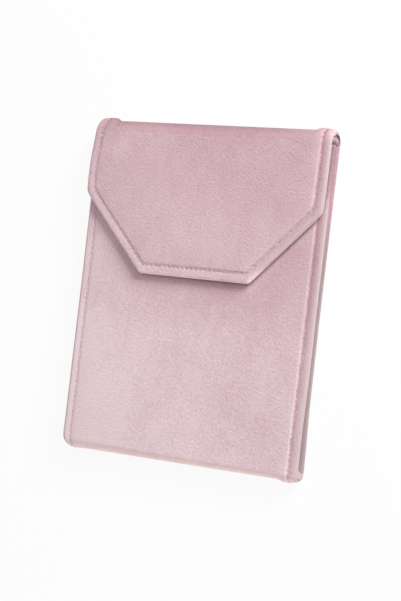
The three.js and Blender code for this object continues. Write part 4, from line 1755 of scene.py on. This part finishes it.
    def _caps(self) -> None:
        """Turns one snap cap and repeats it on the tabs by Geometry Nodes."""
        radius, low, (inset, height) = self.cap_radius, self.cap_base, self.dome_foot
        rim = [(radius - a, low + b) for a, b in self.cap_rim]
        dome = [((radius - inset) * math.cos(t), low + height + (self.cap_dome - height) * math.sin(t))
                for t in np.linspace(self.dome_start, 0.5 * math.pi, self.dome_steps)[:-1]]
        across, up = np.array(rim + dome).T
        turn = np.linspace(0.0, 2.0 * math.pi, self.cap_sides, endpoint=False)
        shell = Shell()
        index = shell.points(np.stack([np.outer(across, np.cos(turn)), np.outer(across, np.sin(turn)),
                                       np.repeat(up[:, None], self.cap_sides, axis=1)], -1))
        bottom, top = shell.points(np.array([(0.0, 0.0, low), (0.0, 0.0, low + self.cap_dome)]))
        closed = np.concatenate([index, index[:, :1]], axis=1)
        shell.grid(closed)
        shell.fan(int(bottom), closed[0], True)
        shell.fan(int(top), closed[-1], False)
        pattern = shell.build("cap_pattern", ROSE_GOLD)
        places = np.array([(x, self.snap_y, self.lining_z) for x in self.tab_places])
        caps = SnapTree().make("snap_caps", places, {"Snap": pattern, "Finish": ROSE_GOLD.material()})
        bpy.data.objects.remove(pattern, do_unlink=True)
        self._finish(caps, Slot.SNAP, *[f"tab_{i}_cap" for i in range(1, len(self.tab_places) + 1)])

    @staticmethod
    def _finish(piece: bpy.types.Object, slot: Slot, *nodes: str) -> None:
        """Lets a piece stand for CAD nodes and ride on the back.

        Args:
            piece: The piece.
            slot: Its material slot; not used.
            *nodes: Nodes that it stands for.
        """
        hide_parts(*nodes)
        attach(piece, "back")
        LOG.info("built %s", piece.name)


@dataclass
class HiddenCore:
    """Boards, magnets and snap parts that keep their CAD shapes."""

    panels: tuple[str, ...] = ("back", "flap", "front")
    magnet_panels: tuple[str, ...] = ("flap", "front")
    snap_parts: tuple[str, ...] = ("socket", "stud", "post")
    tabs: int = 5

    def dress(self) -> None:
        """Gives every node that no piece stands for its own finish."""
        finishes = {f"{panel}_board": BOARD for panel in self.panels}
        finishes |= {f"{panel}_magnet_{side}": NICKEL
                     for panel in self.magnet_panels for side in ("left", "right")}
        finishes |= {f"tab_{i}_{part}": ROSE_GOLD
                     for i in range(1, self.tabs + 1) for part in self.snap_parts}
        for name, finish in finishes.items():
            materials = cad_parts[name].data.materials
            materials.clear()
            materials.append(finish.material())
        LOG.info("dressed %d boards, magnets and snap parts", len(finishes))


@dataclass(frozen=True)
class Lamp:
    """One soft square lamp that looks at the pouch: place and side in metres, power in watts."""

    name: str
    place: Point
    side: float
    power: float
    colour: str = "#FFFFFF"

    def hang(self) -> None:
        """Puts the lamp in the scene."""
        data = bpy.data.lights.new(self.name, "AREA")
        data.size, data.energy = self.side, self.power
        data.color = linear(self.colour)[:3]
        turned = Vector(self.place).to_track_quat("Z", "Y").to_matrix().to_4x4()
        add_object(self.name, data).matrix_world = Matrix.Translation(self.place) @ turned


@dataclass
class Studio:
    """White paper sweep, soft lamps and the camera, at the photograph's viewing angle."""

    image_height: int = 601
    focal_px: float = 1450.0
    sensor_mm: float = 36.0
    eye: Point = (361.8, -10.4, 676.1)
    forward: Point = (-0.47233, 0.00964, -0.88137)
    upward: Point = (-0.09664, 0.99334, 0.06266)
    floor_size: float = 6.0
    floor_drop: float = 0.0003
    ambient: float = 0.25
    room: str = "#FFEFF0"
    white: str = "#FFFFFF"
    lamps: tuple[Lamp, ...] = (
        Lamp("key_softbox", place=(0.80, 0.79, 0.53), side=0.5, power=19.0),
        Lamp("fill_softbox", place=(0.25, 0.45, 1.1), side=0.6, power=3.6, colour="#FFEFF0"),
        Lamp("warm_bounce", place=(0.05, -0.75, 0.006), side=0.012, power=2.7, colour="#FFF5EA"))

    def build(self) -> None:
        """Makes the floor, the world, the lamps and the camera."""
        bpy.context.scene.view_settings.view_transform = "Standard"
        self._floor()
        self._world()
        for lamp in self.lamps:
            lamp.hang()
        self._camera()
        LOG.info("set the studio")

    def _floor(self) -> None:
        """Lays the paper under the pouch."""
        half = 0.5 * self.floor_size
        corners = [(x * half, y * half, -self.floor_drop) for x, y in ((-1, -1), (1, -1), (1, 1), (-1, 1))]
        mesh = bpy.data.meshes.new("paper_sweep")
        mesh.from_pydata(corners, [], [(0, 1, 2, 3)])
        mesh.materials.append(PAPER.material())
        add_object("paper_sweep", mesh)

    def _world(self) -> None:
        """Sets an even, faintly pink world that looks white to the camera."""
        world = bpy.data.worlds.new("soft_room")
        world.use_nodes = True
        tree = world.node_tree
        tree.nodes.clear()
        path = add_node(tree, "ShaderNodeLightPath")
        room, white = (add_node(tree, "ShaderNodeBackground", {"Color": linear(colour), "Strength": strength})
                       for colour, strength in ((self.room, self.ambient), (self.white, 1.0)))
        mixed = add_node(tree, "ShaderNodeMixShader", {0: path.outputs["Is Camera Ray"], 1: room, 2: white})
        add_node(tree, "ShaderNodeOutputWorld", {"Surface": mixed})
        bpy.context.scene.world = world

    def _camera(self) -> None:
        """Sets the camera at the photograph's viewing angle."""
        data = bpy.data.cameras.new("studio_camera")
        data.sensor_fit = "VERTICAL"
        data.sensor_height = self.sensor_mm
        data.lens = self.focal_px * self.sensor_mm / self.image_height
        back = -Vector(self.forward).normalized()
        right = Vector(self.upward).cross(back).normalized()
        turned = Matrix((right, back.cross(right), back)).transposed().to_4x4()
        camera = add_object("studio_camera", data)
        camera.matrix_world = Matrix.Translation(Vector(self.eye) * MM) @ turned
        bpy.context.scene.camera = camera


def velvet_panels() -> list[VelvetPanel]:
    """Lists the five panels of the strip, from the flap's tip to the front's free end.

    Returns:
        The panels, not yet built.
    """
    top, bottom = TOP_FOLD, BOTTOM_FOLD
    apex, low = top.centre_y + top.arc, bottom.centre_y - bottom.arc
    plain = Outline(HALF_WIDTH, bow=0.4, tuck=1.7, tuck_at=low)
    flap = replace(plain, bow=-0.4, tuck_at=apex, tuck_reach=33.0, spread_low=0.1, spread_high=0.4,
                   left=Cut(corner_y=48.6, tip_x=31.4, tip_y=7.8),
                   right=Cut(corner_y=46.0, tip_x=33.8, tip_y=7.8))
    top_turn = replace(plain, tuck_at=apex, tuck_reach=top.arc, spread_high=0.4, spread_from=top.centre_y,
                       spread_to=apex)
    back = replace(plain, spread_low=0.45, spread_from=-75.0, spread_to=-50.0)
    bottom_turn = replace(plain, spread_low=0.45, spread_high=0.7, spread_from=bottom.centre_y, spread_to=low)
    front = replace(plain, spread_low=0.7, spread_high=1.3, spread_from=-72.0, spread_to=-25.0)
    # The pile settings paint light and shade: shade over the top fold, at the right-hand rims and where the
    # flap shades the front, light over the bottom fold and on the flap's tip.
    return [
        VelvetPanel(
            "flap", top, Side.UPPER, ("top_spine", "flap"), length=74.2, outline=flap,
            replaces=("flap_cover", "flap_foam", "top_fold_cover"),
            lining_replaces=("flap_lining", "top_fold_lining"), free_end=True, lift=0.5,
            pile=VelvetShading(level=0.46, drift=(-0.14, -0.25), fold=-0.7, fold_edge=0.6, tip_rim_highlight=0.4,
                         inner_sheen_shade=0.0)),
        VelvetPanel(
            "top_turn", top, Side.LOWER, ("back", "top_spine"), length=TURN_END, outline=top_turn,
            replaces=("top_fold_cover",), lining_replaces=("top_fold_lining",),
            pile=VelvetShading(level=0.4, fold=-0.64, fold_edge=0.6, rim=-0.3, inner_edge_shade=0.1, side_sheen_shade=0.0)),
        VelvetPanel(
            "back", top, Side.LOWER, ("back",), start=TURN_END, outline=back,
            length=top.centre_y - bottom.centre_y - TURN_END, with_fold=False, wave=0.0,
            replaces=("back_cover", "back_foam"), lining_replaces=("back_lining",),
            pile=VelvetShading(rim=-0.7, inner_edge_shade=0.2, side_sheen_shade=0.65, sheen_shade_from=20.0)),
        VelvetPanel(
            "bottom_turn", bottom, Side.LOWER, ("back", "bottom_spine"), length=TURN_END, outline=bottom_turn,
            replaces=("bottom_fold_cover",), lining_replaces=("bottom_fold_lining",),
            pile=VelvetShading(fold=0.45)),
        VelvetPanel(
            "front", bottom, Side.UPPER, ("bottom_spine", "front"), length=166.4, outline=front,
            replaces=("front_cover", "front_foam", "bottom_fold_cover"),
            lining_replaces=("front_lining", "bottom_fold_lining"), free_end=True, left_tension=0.28,
            pile=VelvetShading(level=0.7, drift=(-0.27, 0.38), fold=0.25, flap_side_shade=0.26, under_flap_shade=0.16)),
    ]


def hem_gathers() -> list[HemGather]:
    """Lists the gathers inside the ends of the two folds, not yet built."""
    # The gathers are darker than the panels, and the bottom ones greyed: painted shade inside the ends of the
    # folds.
    return [HemGather("top_gather_velvet", TOP_FOLD, "top_spine", "flap_fold", depth=3.7, nap=0.24),
            HemGather("bottom_gather_velvet", BOTTOM_FOLD, "bottom_spine", "front_fold", depth=4.2, nap=0.1,
                      rub=0.5, ends=(68.0, 70.3), rounding=1.6)]


def main() -> None:
    """Builds the studio, the panels, the gathers, the inside and the hidden core, in that order."""
    logging.basicConfig(level=logging.INFO, format="%(name)s: %(message)s")
    Studio().build()
    tree = StitchTree()
    for panel in velvet_panels():
        panel.build(tree)
    for gather in hem_gathers():
        gather.build()
    Interior().build(tree)
    HiddenCore().dress()


if __name__ == "__main__":
    main()
